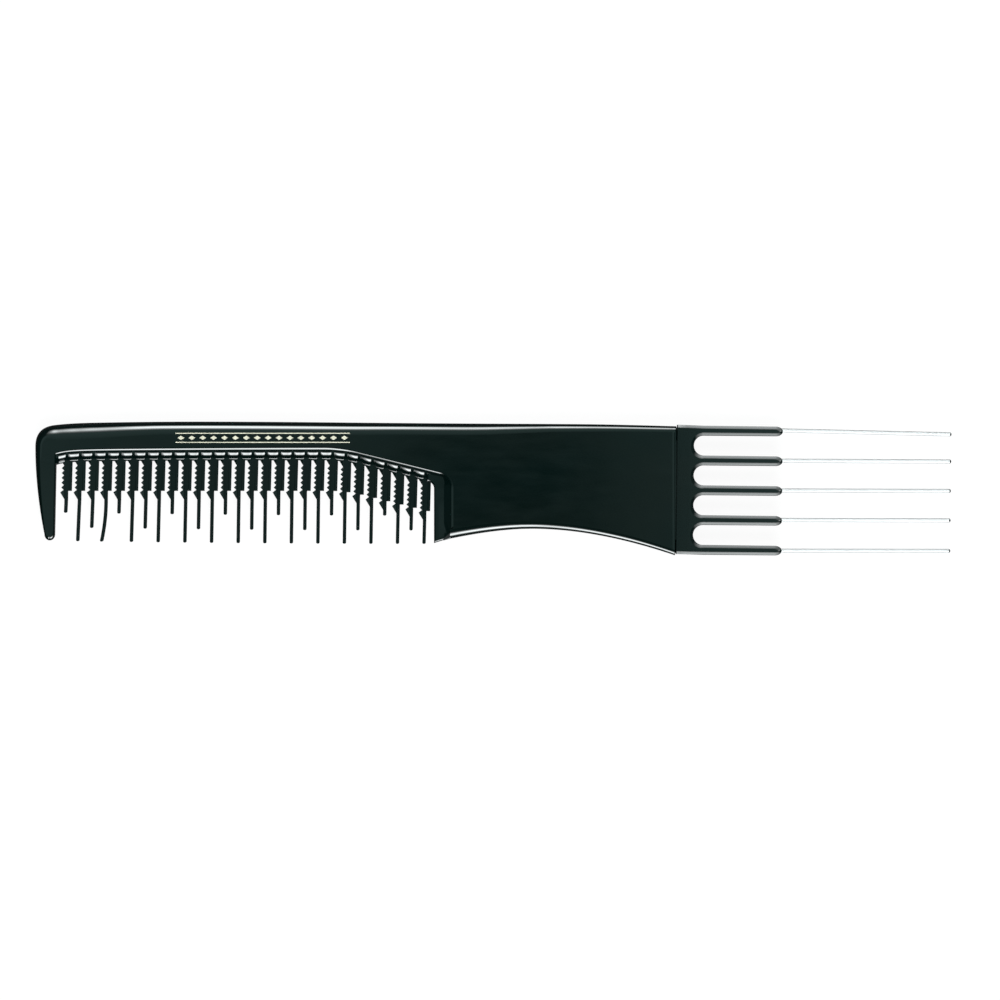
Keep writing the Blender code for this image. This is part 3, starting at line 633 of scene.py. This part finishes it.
# Serrated side
BARB_COUNT = 6
BARB_PITCH = 1.07 * MM
FIRST_BARB = 4.04 * MM
BARB_REACH = 0.9 * MM
HOOK_REACH = 1.26 * MM
BARB_LEAN = 0.03 * MM
BARB_DIP = 0.53
VALLEY_REACH = 0.36 * MM
HOOK_SLOPE = 1.6 * MM
BLADE_LOW = 1.3 * MM
BLADE_HIGH = 1.5 * MM
BLADE_LEFT = 1.42 * MM
SHOULDER_RISE = 0.32 * MM
ROOT_SEAT = 0.6 * MM


def tooth_x(index):
    return FIRST_TOOTH_X + index * TOOTH_PITCH


def hook_y(index):
    return row_y(tooth_x(index)) - FIRST_BARB - (BARB_COUNT - 1) * BARB_PITCH


def needle_top(index):
    return hook_y(index) - HOOK_SLOPE


def needle_tip(index):
    """The tip's height: short, long, medium and long by turns, all falling a little along the row."""
    lengths = (SHORT_TOOTH, LONG_TOOTH, MEDIUM_TOOTH, LONG_TOOTH)
    left_over = 1 - index / (TOOTH_COUNT - 1)
    return -lengths[index % len(lengths)] - TOOTH_ROW_FALL * (1 - left_over * left_over)


def tooth_outline(index):
    x = tooth_x(index)
    top = row_y(x)
    root = top - WEB_HEIGHT + ROOT_SEAT
    hidden_top = top + OVERLAP / 2
    points = [(x + BLADE_HIGH, hidden_top), (x - BLADE_LEFT, hidden_top), (x - BLADE_LEFT, root)]
    for barb in range(BARB_COUNT):
        depth = FIRST_BARB + barb * BARB_PITCH
        lean = BARB_LEAN * barb
        reach = HOOK_REACH if barb == BARB_COUNT - 1 else BARB_REACH + lean
        points.append((x - VALLEY_REACH - lean, top - depth + BARB_PITCH * BARB_DIP))
        points.append((x - reach, top - depth))
    half = NEEDLE_WIDTH / 2
    middle = x + NEEDLE_OFFSET
    start = needle_top(index)
    tip = needle_tip(index) + half
    levels = [start + (tip - start) * part / NEEDLE_PARTS for part in range(NEEDLE_PARTS)]
    points += [(middle - half, level) for level in levels]
    tip_round = arc((middle, tip), half, half * NEEDLE_TIP_SHARE, 180, 360, steps=12)
    points += [tuple(point) for point in tip_round]
    points += [(middle + half, level) for level in reversed(levels)]
    shoulder = hook_y(index) + SHOULDER_RISE
    points.append((middle + half + NEEDLE_BACK_TAPER, shoulder))
    return points + [(x + BLADE_LOW, shoulder), (x + BLADE_HIGH, root)]


def flat_teeth(thickness):
    """All the teeth as flat blanks."""
    shape = bmesh.new()
    for index in range(TOOTH_COUNT):
        points = tooth_outline(index)
        lower = [shape.verts.new((x, y, -thickness / 2)) for x, y in points]
        upper = [shape.verts.new((x, y, thickness / 2)) for x, y in points]
        skin_rings(shape, [lower, upper])
    return shape


def bars_at(places, *sections):
    """Bars that run down from the step, each through sections of (depth, half thickness, pairs)."""
    shape = bmesh.new()
    for x in places:
        corners = set()
        for depth, half, section in sections:
            y = step_y(x) - depth
            for across, share in section:
                corners |= {(x + across * MM, y, half * share), (x + across * MM, y, -half * share)}
        bmesh.ops.convex_hull(shape, input=[shape.verts.new(place) for place in sorted(corners)])
    return shape


def lean_needles(mesh):
    """Leans the needles towards the guard, most at the ends of the row, and bends one of them."""
    shape = bmesh.new()
    shape.from_mesh(mesh)
    for number in range(1, NEEDLE_BENDS + 1):
        level = comb_place @ Vector((0, needle_top(0) - number * NEEDLE_BEND_SPACING, 0))
        everything = shape.verts[:] + shape.edges[:] + shape.faces[:]
        bmesh.ops.bisect_plane(shape, geom=everything, plane_co=level, plane_no=(0, 1, 0))
    for vertex in shape.verts:
        local = comb_place.inverted() @ vertex.co
        index = round((local.x - FIRST_TOOTH_X) / TOOTH_PITCH)
        index = min(max(index, 0), TOOTH_COUNT - 1)
        run = needle_top(index) - local.y
        if run <= 0:
            continue
        off = (index - STRAIGHTEST_TOOTH) / (STRAIGHTEST_TOOTH - 1)
        shift = run * (NEEDLE_LEAN + NEEDLE_LEAN_AT_END * off * off)
        if index == BENT_TOOTH:
            shift = run * run / BENT_TOOTH_RUN * BENT_TOOTH_LEAN
        vertex.co.x -= shift
    shape.to_mesh(mesh)
    shape.free()


teeth_x = [tooth_x(index) for index in range(TOOTH_COUNT)]
past_tips = LONG_TOOTH - SPINE_HEIGHT + TOOTH_ROW_FALL + OVERLAP
half_tip = TOOTH_TIP_THICKNESS / 2
buttresses = bars_at(teeth_x,
                     (-OVERLAP, BUTTRESS_TOP, BUTTRESS_HIGH),
                     (BUTTRESS_RUN, BUTTRESS_TOP, BUTTRESS_HIGH),
                     (BUTTRESS_END, BUTTRESS_END_HEIGHT, BUTTRESS_LOW))
ridges = bars_at(teeth_x,
                 (RIDGE_START, RIDGE_TOP, RIDGE_HIGH),
                 (past_tips, half_tip, RIDGE_LOW))
blades = bars_at(teeth_x,
                 (-OVERLAP, BLADE_HALF, BLADE_SHARES),
                 (past_tips, half_tip * BLADE_TIP_SHARE, BLADE_SHARES))
guard_buttress = bars_at([GUARD_WIDTH],
                         (0, BUTTRESS_TOP, GUARD_BUTTRESS),
                         (BUTTRESS_RUN, BUTTRESS_TOP, GUARD_BUTTRESS),
                         (BUTTRESS_END, BUTTRESS_END_HEIGHT, GUARD_BUTTRESS))
bars = as_object("bars", blades, comb_place)
join_solid(bars, as_object("ridges", ridges, comb_place), "UNION")
join_solid(bars, as_object("buttresses", buttresses, comb_place), "UNION")
teeth = as_object("teeth", flat_teeth(FACE_THICKNESS), comb_place)
join_solid(teeth, bars, "INTERSECT")
lean_needles(teeth.data)
join_solid(comb, teeth, "UNION")
join_solid(comb, as_object("guard_buttress", guard_buttress, comb_place), "UNION")

# A pocket in the handle's end takes the fork's tongue
TONGUE_LENGTH = 4.0 * MM
TONGUE_HALF_WIDTH = 11.0 * MM
TONGUE_HALF_THICKNESS = 0.9 * MM
TONGUE_CLEARANCE = 0.05 * MM
SHOULDER_LENGTH = 0.5 * MM
SHOULDER_HALF_EDGE = 0.3 * MM
SHOULDER_BOTTOM = 0.33 * MM
SHOULDER_TOP = 0.4 * MM


def block_between(low, high):
    shape = bmesh.new()
    rings = []
    for z in (low[2], high[2]):
        corners = ((low[0], low[1]), (high[0], low[1]), (high[0], high[1]), (low[0], high[1]))
        rings.append([shape.verts.new((x, y, z)) for x, y in corners])
    skin_rings(shape, rings)
    return shape


def tongue_parts(clearance):
    """The tongue, and the wide wedge at its root that closes the seam from end to end."""
    wide, thick = TONGUE_HALF_WIDTH + clearance, TONGUE_HALF_THICKNESS + clearance
    yield block_between((-TONGUE_LENGTH - clearance, -wide, -thick), (OVERLAP, wide, thick))
    shoulder_shape = bmesh.new()
    for y in (-FORK_HEIGHT / 2 + SHOULDER_BOTTOM - clearance, FORK_HEIGHT / 2 - SHOULDER_TOP + clearance):
        for x, z in ((-SHOULDER_LENGTH - clearance, SHOULDER_HALF_EDGE), (OVERLAP, thick)):
            shoulder_shape.verts.new((x, y, z))
            shoulder_shape.verts.new((x, y, -z))
    bmesh.ops.convex_hull(shoulder_shape, input=shoulder_shape.verts)
    yield shoulder_shape


for part in tongue_parts(TONGUE_CLEARANCE):
    join_solid(comb, as_object("pocket", part, fork_place), "DIFFERENCE")
finish_surface(comb, sharp_degrees=17)


def texture_places(tree, scale):
    """Object coordinates in metres, multiplied along each axis."""
    coordinates = tree.nodes.new("ShaderNodeTexCoord")
    mapping = tree.nodes.new("ShaderNodeMapping")
    mapping.inputs["Scale"].default_value = scale
    tree.links.new(coordinates.outputs["Object"], mapping.inputs["Vector"])
    return mapping.outputs["Vector"]


def noise(tree, scale, detail):
    texture = tree.nodes.new("ShaderNodeTexNoise")
    texture.inputs["Scale"].default_value = 1.0
    texture.inputs["Detail"].default_value = detail
    tree.links.new(texture_places(tree, scale), texture.inputs["Vector"])
    return texture.outputs["Fac"]


def ranged(tree, value, low, high):
    """Spreads the middle of a noise over a range of values."""
    spread = tree.nodes.new("ShaderNodeMapRange")
    spread.inputs["From Min"].default_value = 0.3
    spread.inputs["From Max"].default_value = 0.7
    spread.inputs["To Min"].default_value = low
    spread.inputs["To Max"].default_value = high
    tree.links.new(value, spread.inputs["Value"])
    return spread.outputs["Result"]


def mixed_color(tree, value, first, second):
    mix = tree.nodes.new("ShaderNodeMix")
    mix.data_type = "RGBA"
    mix.inputs["A"].default_value = (*first, 1)
    mix.inputs["B"].default_value = (*second, 1)
    tree.links.new(value, mix.inputs["Factor"])
    return mix.outputs["Result"]


def bumped(tree, value, distance, normal=None):
    bump = tree.nodes.new("ShaderNodeBump")
    bump.inputs["Strength"].default_value = 1.0
    bump.inputs["Distance"].default_value = distance
    tree.links.new(value, bump.inputs["Height"])
    if normal is not None:
        tree.links.new(normal, bump.inputs["Normal"])
    return bump.outputs["Normal"]


def black_acetal(name, blacks, polish):
    """Polished black acetal: faint clouding, soft handling haze and a very slight moulded waviness."""
    material = bpy.data.materials.new(name)
    material.use_nodes = True
    tree = material.node_tree
    shader = tree.nodes["Principled BSDF"]
    shader.inputs["IOR"].default_value = 1.6
    shader.inputs["Specular IOR Level"].default_value = 0.6
    clouds = ranged(tree, noise(tree, scale=(45, 60, 60), detail=2), 0, 1)
    tree.links.new(mixed_color(tree, clouds, *blacks), shader.inputs["Base Color"])
    haze = noise(tree, scale=(120, 420, 420), detail=3)
    tree.links.new(ranged(tree, haze, *polish), shader.inputs["Roughness"])
    waves = bumped(tree, noise(tree, scale=(130, 200, 200), detail=1), distance=0.004 * MM)
    grain = noise(tree, scale=(3000, 3000, 3000), detail=2)
    grained = bumped(tree, grain, distance=0.0006 * MM, normal=waves)
    tree.links.new(grained, shader.inputs["Normal"])
    return material


COMB_BLACKS = ((0.0004, 0.0028, 0.0026), (0.0011, 0.003, 0.0026))
COMB_POLISH = (0.05, 0.09)
comb.data.materials.clear()
comb.data.materials.append(black_acetal("comb_acetal_polished", COMB_BLACKS, COMB_POLISH))
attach(comb, "root")
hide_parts("comb_body")


# Foil border: thin pale-gold foil, hot-stamped into the middle of the spine's front face.
# Two fine rules enclose a row of small lozenges.

FOIL_START = 31.1 * MM
FOIL_LENGTH = 38.6 * MM
FOIL_TOP = 2.6 * MM
FOIL_DEPTH = 2.0 * MM
FOIL_RULE = 0.2 * MM
FOIL_THICKNESS = 0.02 * MM
LOZENGE_COUNT = 16
LOZENGE_WIDTH = 1.5 * MM
LOZENGE_HEIGHT = 0.95 * MM
FOIL_GOLDS = ((0.46, 0.435, 0.345), (0.58, 0.55, 0.44))
FOIL_POLISH = (0.35, 0.5)


def foil_shape(points, shape):
    """One flat shape of foil, sunk by half its thickness."""
    base = FACE_THICKNESS / 2 - FOIL_THICKNESS / 2
    lower = [shape.verts.new((x, y, base)) for x, y in points]
    upper = [shape.verts.new((x, y, base + FOIL_THICKNESS)) for x, y in points]
    skin_rings(shape, [lower, upper])


foil = bmesh.new()
foil_end = FOIL_START + FOIL_LENGTH
for y in (-FOIL_TOP, -FOIL_TOP - FOIL_DEPTH):
    low, high = y - FOIL_RULE / 2, y + FOIL_RULE / 2
    foil_shape([(FOIL_START, low), (foil_end, low), (foil_end, high), (FOIL_START, high)], foil)
pitch = FOIL_LENGTH / LOZENGE_COUNT
y = -FOIL_TOP - FOIL_DEPTH / 2
low, high = y - LOZENGE_HEIGHT / 2, y + LOZENGE_HEIGHT / 2
for number in range(LOZENGE_COUNT):
    x = FOIL_START + pitch * (number + 0.5)
    foil_shape([(x, low), (x + LOZENGE_WIDTH / 2, y), (x, high), (x - LOZENGE_WIDTH / 2, y)], foil)
foil_border = as_object("foil_border", foil, comb_place)

material = bpy.data.materials.new("pale_gold_foil")
material.use_nodes = True
tree = material.node_tree
shader = tree.nodes["Principled BSDF"]
shader.inputs["Metallic"].default_value = 0.3
speckle = ranged(tree, noise(tree, scale=(2200, 2200, 2200), detail=3), 0, 1)
tree.links.new(mixed_color(tree, speckle, *FOIL_GOLDS), shader.inputs["Base Color"])
wear = noise(tree, scale=(900, 900, 900), detail=2)
tree.links.new(ranged(tree, wear, *FOIL_POLISH), shader.inputs["Roughness"])
foil_border.data.materials.append(material)
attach(foil_border, "root")


# Lifting fork: a second moulding of the same black acetal, locked to the handle's end by a hidden tongue.
# Its five round-nosed fingers thin towards their tips and hold the pins.

FORK_BLOCK = 3.8 * MM
FORK_UPPER_RIM = (0.05 * MM, 0.14 * MM, 11.4, 60, 1.08)
FORK_LOWER_RIM = (0.14 * MM, 0.4 * MM, 3.8, 0, 1.05)
BLOCK_BOTTOM_RIM = (0.05 * MM, 0.14 * MM, 11.4, 60, 1.05)
BLOCK_MIDDLE = 2.6 * MM
BLOCK_TOP_RISE = 0.16 * MM
BLOCK_TOP_MIDDLE_RISE = 0.1 * MM
BLOCK_BOTTOM_RISE = 0.11 * MM
BLOCK_BOTTOM_MIDDLE_RISE = 0.06 * MM
FINGER_TIP_WIDTH = 2.12 * MM
FINGER_LENGTH = 19.7 * MM
FINGER_DOME = 1.5 * MM
FINGER_NOSE_RIM = (0.15 * MM, 0.426 * MM, 3.0, 0, 1.05)
FINGER_TIP_THICKNESS = 2.4 * MM
FINGER_TIP_X = FORK_BLOCK + FINGER_LENGTH
FORK_BLACKS = ((0.0011, 0.0038, 0.0036), (0.002, 0.004, 0.0036))
FORK_POLISH = (0.08, 0.13)


def finger_y(index):
    return index * FINGER_PITCH - OUTER_FINGER_Y


def fork_half_thickness(place):
    """Half the thickness: level over the block, rolled down at the seam and thinner towards the tips."""
    share = max(place.x - FORK_BLOCK, 0) / FINGER_LENGTH
    half = (FACE_THICKNESS + (FINGER_TIP_THICKNESS - FACE_THICKNESS) * share) / 2
    return half - rolled_down(place.x - fork_start)


slot_radius = (FINGER_PITCH - FINGER_WIDTH) / 2
slot_x = FORK_BLOCK + slot_radius
dome_x = FINGER_TIP_X - FINGER_DOME
fork_start = SEAM_X + SEAM_HALF_GAP
end_places = [fork_start + step * MM for step in END_STEPS if step * MM <= SEAM_ROUND]
top_y = FORK_HEIGHT / 2 + BLOCK_TOP_RISE
bottom_y = -FORK_HEIGHT / 2 + BLOCK_BOTTOM_RISE
block_top = [Vector((x, top_y)) for x in reversed(end_places)] + [Vector((-TRIM, top_y))]
block_bottom = [Vector((-TRIM, bottom_y))] + [Vector((x, bottom_y)) for x in end_places]
outline = rimmed(block_top, FORK_UPPER_RIM, FORK_UPPER_RIM)
outline += rimmed(block_bottom, BLOCK_BOTTOM_RIM, BLOCK_BOTTOM_RIM)
rungs = [(number, len(outline) - 1 - number) for number in range(len(end_places))]
middle_number = len(outline)
lower_points = [Vector((BLOCK_MIDDLE, -FORK_HEIGHT / 2 + BLOCK_BOTTOM_MIDDLE_RISE))]
lower_points += [Vector((slot_x, -FORK_HEIGHT / 2))]
outline += rimmed(lower_points, BLOCK_BOTTOM_RIM, FORK_LOWER_RIM)

# Each finger's nose is half an oval, and half a circle joins it to the next finger
for index in range(FINGER_COUNT):
    y = finger_y(index)
    root_number = len(outline) - 1
    nose = arc((dome_x, y), FINGER_DOME, FINGER_TIP_WIDTH / 2, -90, 90, steps=24)
    outline += rimmed_halves(nose, FORK_LOWER_RIM, FINGER_NOSE_RIM, FORK_UPPER_RIM)
    rungs.append((root_number, len(outline)))
    if index < FINGER_COUNT - 1:
        slot_center = (slot_x, y + FINGER_PITCH / 2)
        slot = arc(slot_center, slot_radius, slot_radius, 270, 90, steps=36)
        outline += rimmed_halves(slot, FORK_UPPER_RIM, FORK_LOWER_RIM, FORK_LOWER_RIM)
upper_points = [Vector((slot_x, FORK_HEIGHT / 2))]
upper_points += [Vector((BLOCK_MIDDLE, FORK_HEIGHT / 2 + BLOCK_TOP_MIDDLE_RISE))]
outline += rimmed(upper_points, FORK_UPPER_RIM, FORK_UPPER_RIM)
rungs.append((middle_number, len(outline) - 1))
fork_shape = rolled_plate(outline, fork_half_thickness, rungs)
cut_end(fork_shape, Vector((fork_start, 0, 0)), Vector((-1, 0, 0)))
fork = as_object("fork_moulding", fork_shape, fork_place)
for part in tongue_parts(0):
    join_solid(fork, as_object("tongue", part, fork_place), "UNION")

# A bore in each finger takes its pin, some a little above the finger's middle
PIN_RISES = (0, 0.22 * MM, 0.15 * MM, 0.15 * MM, 0.25 * MM)
PIN_DIAMETER = 0.9 * MM
PIN_CLEARANCE = 0.02 * MM
PIN_OUT = 37.4 * MM
PIN_START = 1.1 * MM
PIN_CHAMFER = 0.1 * MM
PIN_TIP_X = FINGER_TIP_X + PIN_OUT
PIN_SIDES = 40


def turned(profile):
    """A solid turned about X from (place along X, radius) pairs, closed at both ends."""
    shape = bmesh.new()
    rings = []
    for x, radius in profile:
        ring = []
        for side in range(PIN_SIDES):
            angle = 2 * math.pi * side / PIN_SIDES
            ring.append(shape.verts.new((x, radius * math.cos(angle), radius * math.sin(angle))))
        rings.append(ring)
    skin_rings(shape, rings)
    return shape


def pin_place(index):
    return fork_place @ Matrix.Translation((0, finger_y(index) + PIN_RISES[index], 0))


for index in range(FINGER_COUNT):
    radius = PIN_DIAMETER / 2 + PIN_CLEARANCE
    bore = turned([(PIN_START - PIN_CHAMFER, radius), (PIN_TIP_X, radius)])
    join_solid(fork, as_object("bore", bore, pin_place(index)), "DIFFERENCE")
finish_surface(fork, sharp_degrees=10)
fork.data.materials.clear()
fork.data.materials.append(black_acetal("fork_acetal_polished", FORK_BLACKS, FORK_POLISH))
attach(fork, "root")
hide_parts("lift_fork")


# Lift pins: five lengths of drawn spring-steel wire, satin along their length and polished at the tip.
# Each runs in its bore through the whole finger and into the block, and leans a little where it comes out.

PIN_LEANS = (-0.0093, -0.0076, -0.0075, -0.0056, 0.0127)
PIN_START_SHARE = 0.8
TIP_STEPS = 10
TIP_POLISH_LENGTH = 0.35 * MM
STEEL_GREYS = ((0.53, 0.54, 0.55), (0.59, 0.59, 0.59))
SATIN = (0.66, 0.76)
TIP_POLISH = (0.1, 0.16)


def steel(name, polish):
    """Drawn steel wire: fine streaks along it in colour, polish and relief."""
    material = bpy.data.materials.new(name)
    material.use_nodes = True
    tree = material.node_tree
    shader = tree.nodes["Principled BSDF"]
    shader.inputs["Metallic"].default_value = 1.0
    streaks = noise(tree, scale=(60, 5000, 5000), detail=3)
    greys = mixed_color(tree, ranged(tree, streaks, 0, 1), *STEEL_GREYS)
    tree.links.new(greys, shader.inputs["Base Color"])
    tree.links.new(ranged(tree, streaks, *polish), shader.inputs["Roughness"])
    tree.links.new(bumped(tree, streaks, distance=0.0004 * MM), shader.inputs["Normal"])
    return material


def pin_shape(lean):
    """A pin along X with a rounded tip, which leans from where it leaves its finger."""
    radius = PIN_DIAMETER / 2
    profile = [(PIN_START, radius * PIN_START_SHARE)]
    profile += [(PIN_START + PIN_CHAMFER, radius), (FINGER_TIP_X, radius)]
    for step in range(TIP_STEPS):
        angle = math.pi / 2 * step / TIP_STEPS
        profile.append((PIN_TIP_X - radius * (1 - math.sin(angle)), radius * math.cos(angle)))
    shape = turned(profile)
    for vertex in shape.verts:
        vertex.co.y -= lean * max(vertex.co.x - FINGER_TIP_X, 0)
    return shape


satin = steel("satin_steel_wire", SATIN)
polished = steel("polished_steel_tip", TIP_POLISH)
for index in range(FINGER_COUNT):
    name = f"lift_pin_{FINGER_COUNT - index}"
    place = pin_place(index)
    pin = as_object(f"{name}_wire", pin_shape(PIN_LEANS[index]), place)
    finish_surface(pin, sharp_degrees=40)
    pin.data.materials.append(satin)
    pin.data.materials.append(polished)
    for face in pin.data.polygons:
        if (place.inverted() @ face.center).x > PIN_TIP_X - TIP_POLISH_LENGTH:
            face.material_index = 1
    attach(pin, "root")
    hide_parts(name)


# Studio: a plain white floor, two long soft boxes, a dim ceiling and a long lens straight above the comb.
# The lamps and the ceiling are brighter in places, as the reflections on the rims show.

FLOOR_REACH = 4
FLOOR_GAP = 0.05 * MM
FLOOR_WHITE = (0.85, 0.85, 0.85, 1)
FLOOR_GLOW = 0.93
FLOOR_MIRRORED = 0.06


def calculated(tree, operation, *values):
    """A math node's result, from sockets or plain numbers."""
    node = tree.nodes.new("ShaderNodeMath")
    node.operation = operation
    for socket, value in zip(node.inputs, values):
        if isinstance(value, (int, float)):
            socket.default_value = value
        else:
            tree.links.new(value, socket)
    return node.outputs["Value"]


def mixed_shader(tree, share, first, second, output_kind):
    mix = tree.nodes.new("ShaderNodeMixShader")
    tree.links.new(share, mix.inputs["Fac"])
    tree.links.new(first, mix.inputs[1])
    tree.links.new(second, mix.inputs[2])
    tree.links.new(mix.outputs["Shader"], tree.nodes.new(output_kind).inputs["Surface"])


floor_mesh = bpy.data.meshes.new("floor")
corners = [(x * FLOOR_REACH, y * FLOOR_REACH, 0) for x, y in ((-1, -1), (1, -1), (1, 1), (-1, 1))]
floor_mesh.from_pydata(corners, [], [(0, 1, 2, 3)])
floor = bpy.data.objects.new("floor", floor_mesh)
floor.location.z = -FLOOR_GAP
bpy.context.scene.collection.objects.link(floor)
material = bpy.data.materials.new("white_floor")
material.use_nodes = True
tree = material.node_tree
tree.nodes.clear()
matt = tree.nodes.new("ShaderNodeBsdfDiffuse")
matt.inputs["Color"].default_value = FLOOR_WHITE
glow = tree.nodes.new("ShaderNodeEmission")
path = tree.nodes.new("ShaderNodeLightPath").outputs
seen = path["Is Camera Ray"]
mirrored = calculated(tree, "MAXIMUM", path["Is Glossy Ray"], path["Is Transmission Ray"])
glow_strength = calculated(tree, "MULTIPLY_ADD", mirrored, FLOOR_MIRRORED, seen)
tree.links.new(glow_strength, glow.inputs["Strength"])
seen_share = calculated(tree, "MULTIPLY", seen, FLOOR_GLOW)
glow_share = calculated(tree, "MAXIMUM", seen_share, mirrored)
white, glowing = matt.outputs["BSDF"], glow.outputs["Emission"]
mixed_shader(tree, glow_share, white, glowing, "ShaderNodeOutputMaterial")
floor_mesh.materials.append(material)

# Lamps: pairs of place along the comb in metres and share of the brightness
LAMP_DISTANCE = 1.1
LAMP_COLOR = (0.95, 1.0, 1.0)
LAMP_FADE = ((0, 0), (0.15, 0.25), (0.4, 1), (0.6, 1), (0.85, 0.25), (1, 0))
ABOVE = ((-0.36, 0), (-0.26, 0.14), (-0.22, 0.3), (-0.19, 0.46), (-0.165, 0.74), (-0.152, 0.98),
         (-0.142, 0.9), (-0.125, 0.88), (-0.112, 1), (-0.095, 0.93), (-0.06, 0.87), (-0.04, 0.86),
         (-0.02, 0.8), (-0.009, 0.58), (0, 0.46), (0.01, 0.66), (0.018, 0.82), (0.026, 0.92), (0.035, 0.52),
         (0.049, 0.6), (0.063, 0.68), (0.08, 0.5), (0.12, 0.54), (0.2, 0.6), (0.3, 0.5), (0.7, 0.35))
BELOW = ((-0.36, 0.1), (-0.3, 0.2), (-0.258, 0.36), (-0.25, 0.28), (-0.235, 0.24), (-0.216, 0.75),
         (-0.205, 0.95), (-0.19, 0.95), (-0.16, 0.82), (-0.14, 0.9), (-0.118, 0.82), (-0.09, 0.86),
         (-0.06, 0.78), (-0.04, 0.62), (-0.01, 0.84), (0.03, 0.88), (0.07, 0.93), (0.1, 0.93),
         (0.14, 0.76), (0.16, 0.72), (0.2, 0.9), (0.3, 0.6), (0.7, 0.4))


def ramp(tree, value, stops):
    """Turns a value into a brightness, in step with pairs of (value, brightness)."""
    curve = tree.nodes.new("ShaderNodeValToRGB")
    elements = curve.color_ramp.elements
    elements[0].position, elements[1].position = stops[0][0], stops[-1][0]
    for place, level in stops[1:-1]:
        elements.new(place)
    for element, (place, level) in zip(elements, stops):
        element.color = (level, level, level, 1)
    tree.links.new(value, curve.inputs["Fac"])
    return curve.outputs["Color"]


def soft_box(name, low_degrees, high_degrees, side, brightness, along_comb):
    """An oblong lamp beside the comb, seen from it between two angles off the upright, with faded edges."""
    left, right = along_comb[0][0], along_comb[-1][0]
    middle = math.radians((low_degrees + high_degrees) / 2)
    half = math.radians((high_degrees - low_degrees) / 2)
    light = bpy.data.lights.new(name, "AREA")
    light.shape = "RECTANGLE"
    light.size = right - left
    light.size_y = 2 * LAMP_DISTANCE * math.tan(half)
    light.energy = brightness * math.pi * light.size * light.size_y
    light.color = LAMP_COLOR
    light.use_nodes = True
    tree = light.node_tree
    tree.nodes.clear()
    split = tree.nodes.new("ShaderNodeSeparateXYZ")
    tree.links.new(tree.nodes.new("ShaderNodeNewGeometry").outputs["Parametric"], split.inputs["Vector"])
    places = [((x - left) / (right - left), level) for x, level in along_comb]
    lengthwise = ramp(tree, split.outputs["X"], places)
    across = ramp(tree, split.outputs["Y"], LAMP_FADE)
    glow = tree.nodes.new("ShaderNodeEmission")
    tree.links.new(calculated(tree, "MULTIPLY", lengthwise, across), glow.inputs["Strength"])
    tree.links.new(glow.outputs["Emission"], tree.nodes.new("ShaderNodeOutputLight").inputs["Surface"])
    lamp = bpy.data.objects.new(name, light)
    sideways = side * LAMP_DISTANCE * math.sin(middle)
    lamp.location = ((left + right) / 2, sideways, LAMP_DISTANCE * math.cos(middle))
    lamp.rotation_euler = (-side * middle, 0, 0)
    lamp.visible_camera = False
    bpy.context.scene.collection.objects.link(lamp)


soft_box("soft_box_above", low_degrees=19, high_degrees=67, side=1, brightness=17.5, along_comb=ABOVE)
soft_box("soft_box_below", low_degrees=19, high_degrees=77, side=-1, brightness=19, along_comb=BELOW)

# Ceiling: pairs of distance off the upright and brightness, dimmer on the side of the tooth tips
CEILING_COLOR = (0.65, 1.0, 0.95, 1)
CEILING = ((0, 0), (0.009, 0.03), (0.015, 0.07), (0.022, 0.22), (0.03, 0.22), (0.05, 0.17), (0.058, 0.17),
           (0.065, 0.28), (0.1, 0.3), (0.15, 0.34), (0.3, 0.42), (0.4, 0.05), (1, 0.03))
CEILING_SIDES = ((0, 0.1), (0.47, 0.1), (0.492, 0.85), (0.505, 1), (1, 1))
world = bpy.data.worlds.new("studio")
bpy.context.scene.world = world
world.use_nodes = True
tree = world.node_tree
tree.nodes.clear()
way = tree.nodes.new("ShaderNodeTexCoord")
flat = tree.nodes.new("ShaderNodeVectorMath")
flat.operation = "MULTIPLY"
flat.inputs[1].default_value = (1, 1, 0)
tree.links.new(way.outputs["Generated"], flat.inputs[0])
off_upright = tree.nodes.new("ShaderNodeVectorMath")
off_upright.operation = "LENGTH"
tree.links.new(flat.outputs["Vector"], off_upright.inputs[0])
split = tree.nodes.new("ShaderNodeSeparateXYZ")
tree.links.new(way.outputs["Generated"], split.inputs["Vector"])
from_tips = calculated(tree, "MULTIPLY_ADD", split.outputs["Y"], 0.5, 0.5)
round_upright = ramp(tree, off_upright.outputs["Value"], CEILING)
by_side = ramp(tree, from_tips, CEILING_SIDES)
dim = tree.nodes.new("ShaderNodeBackground")
dim.inputs["Color"].default_value = CEILING_COLOR
tree.links.new(calculated(tree, "MULTIPLY", round_upright, by_side), dim.inputs["Strength"])
bright = tree.nodes.new("ShaderNodeBackground")
bright.inputs["Strength"].default_value = 1.0
seen = tree.nodes.new("ShaderNodeLightPath").outputs["Is Camera Ray"]
dim_light, bright_light = dim.outputs["Background"], bright.outputs["Background"]
mixed_shader(tree, seen, dim_light, bright_light, "ShaderNodeOutputWorld")

# Camera: the photograph's middle, as a place in the comb's own frame, and the width that it shows
VIEW_WIDTH = 221.62 * MM
VIEW_MIDDLE = (102.92 * MM, -17.364 * MM)
LENS = 250
SENSOR = 36
camera_data = bpy.data.cameras.new("camera")
camera_data.lens = LENS
camera_data.sensor_width = SENSOR
camera_data.clip_start = 0.01
camera_data.clip_end = 100
camera = bpy.data.objects.new("camera", camera_data)
camera_height = VIEW_WIDTH * LENS / SENSOR + FACE_THICKNESS / 2
camera.location = (cad_low.x + VIEW_MIDDLE[0], cad_high.y + VIEW_MIDDLE[1], camera_height)
bpy.context.scene.collection.objects.link(camera)
bpy.context.scene.camera = camera
bpy.context.scene.view_settings.view_transform = "Standard"
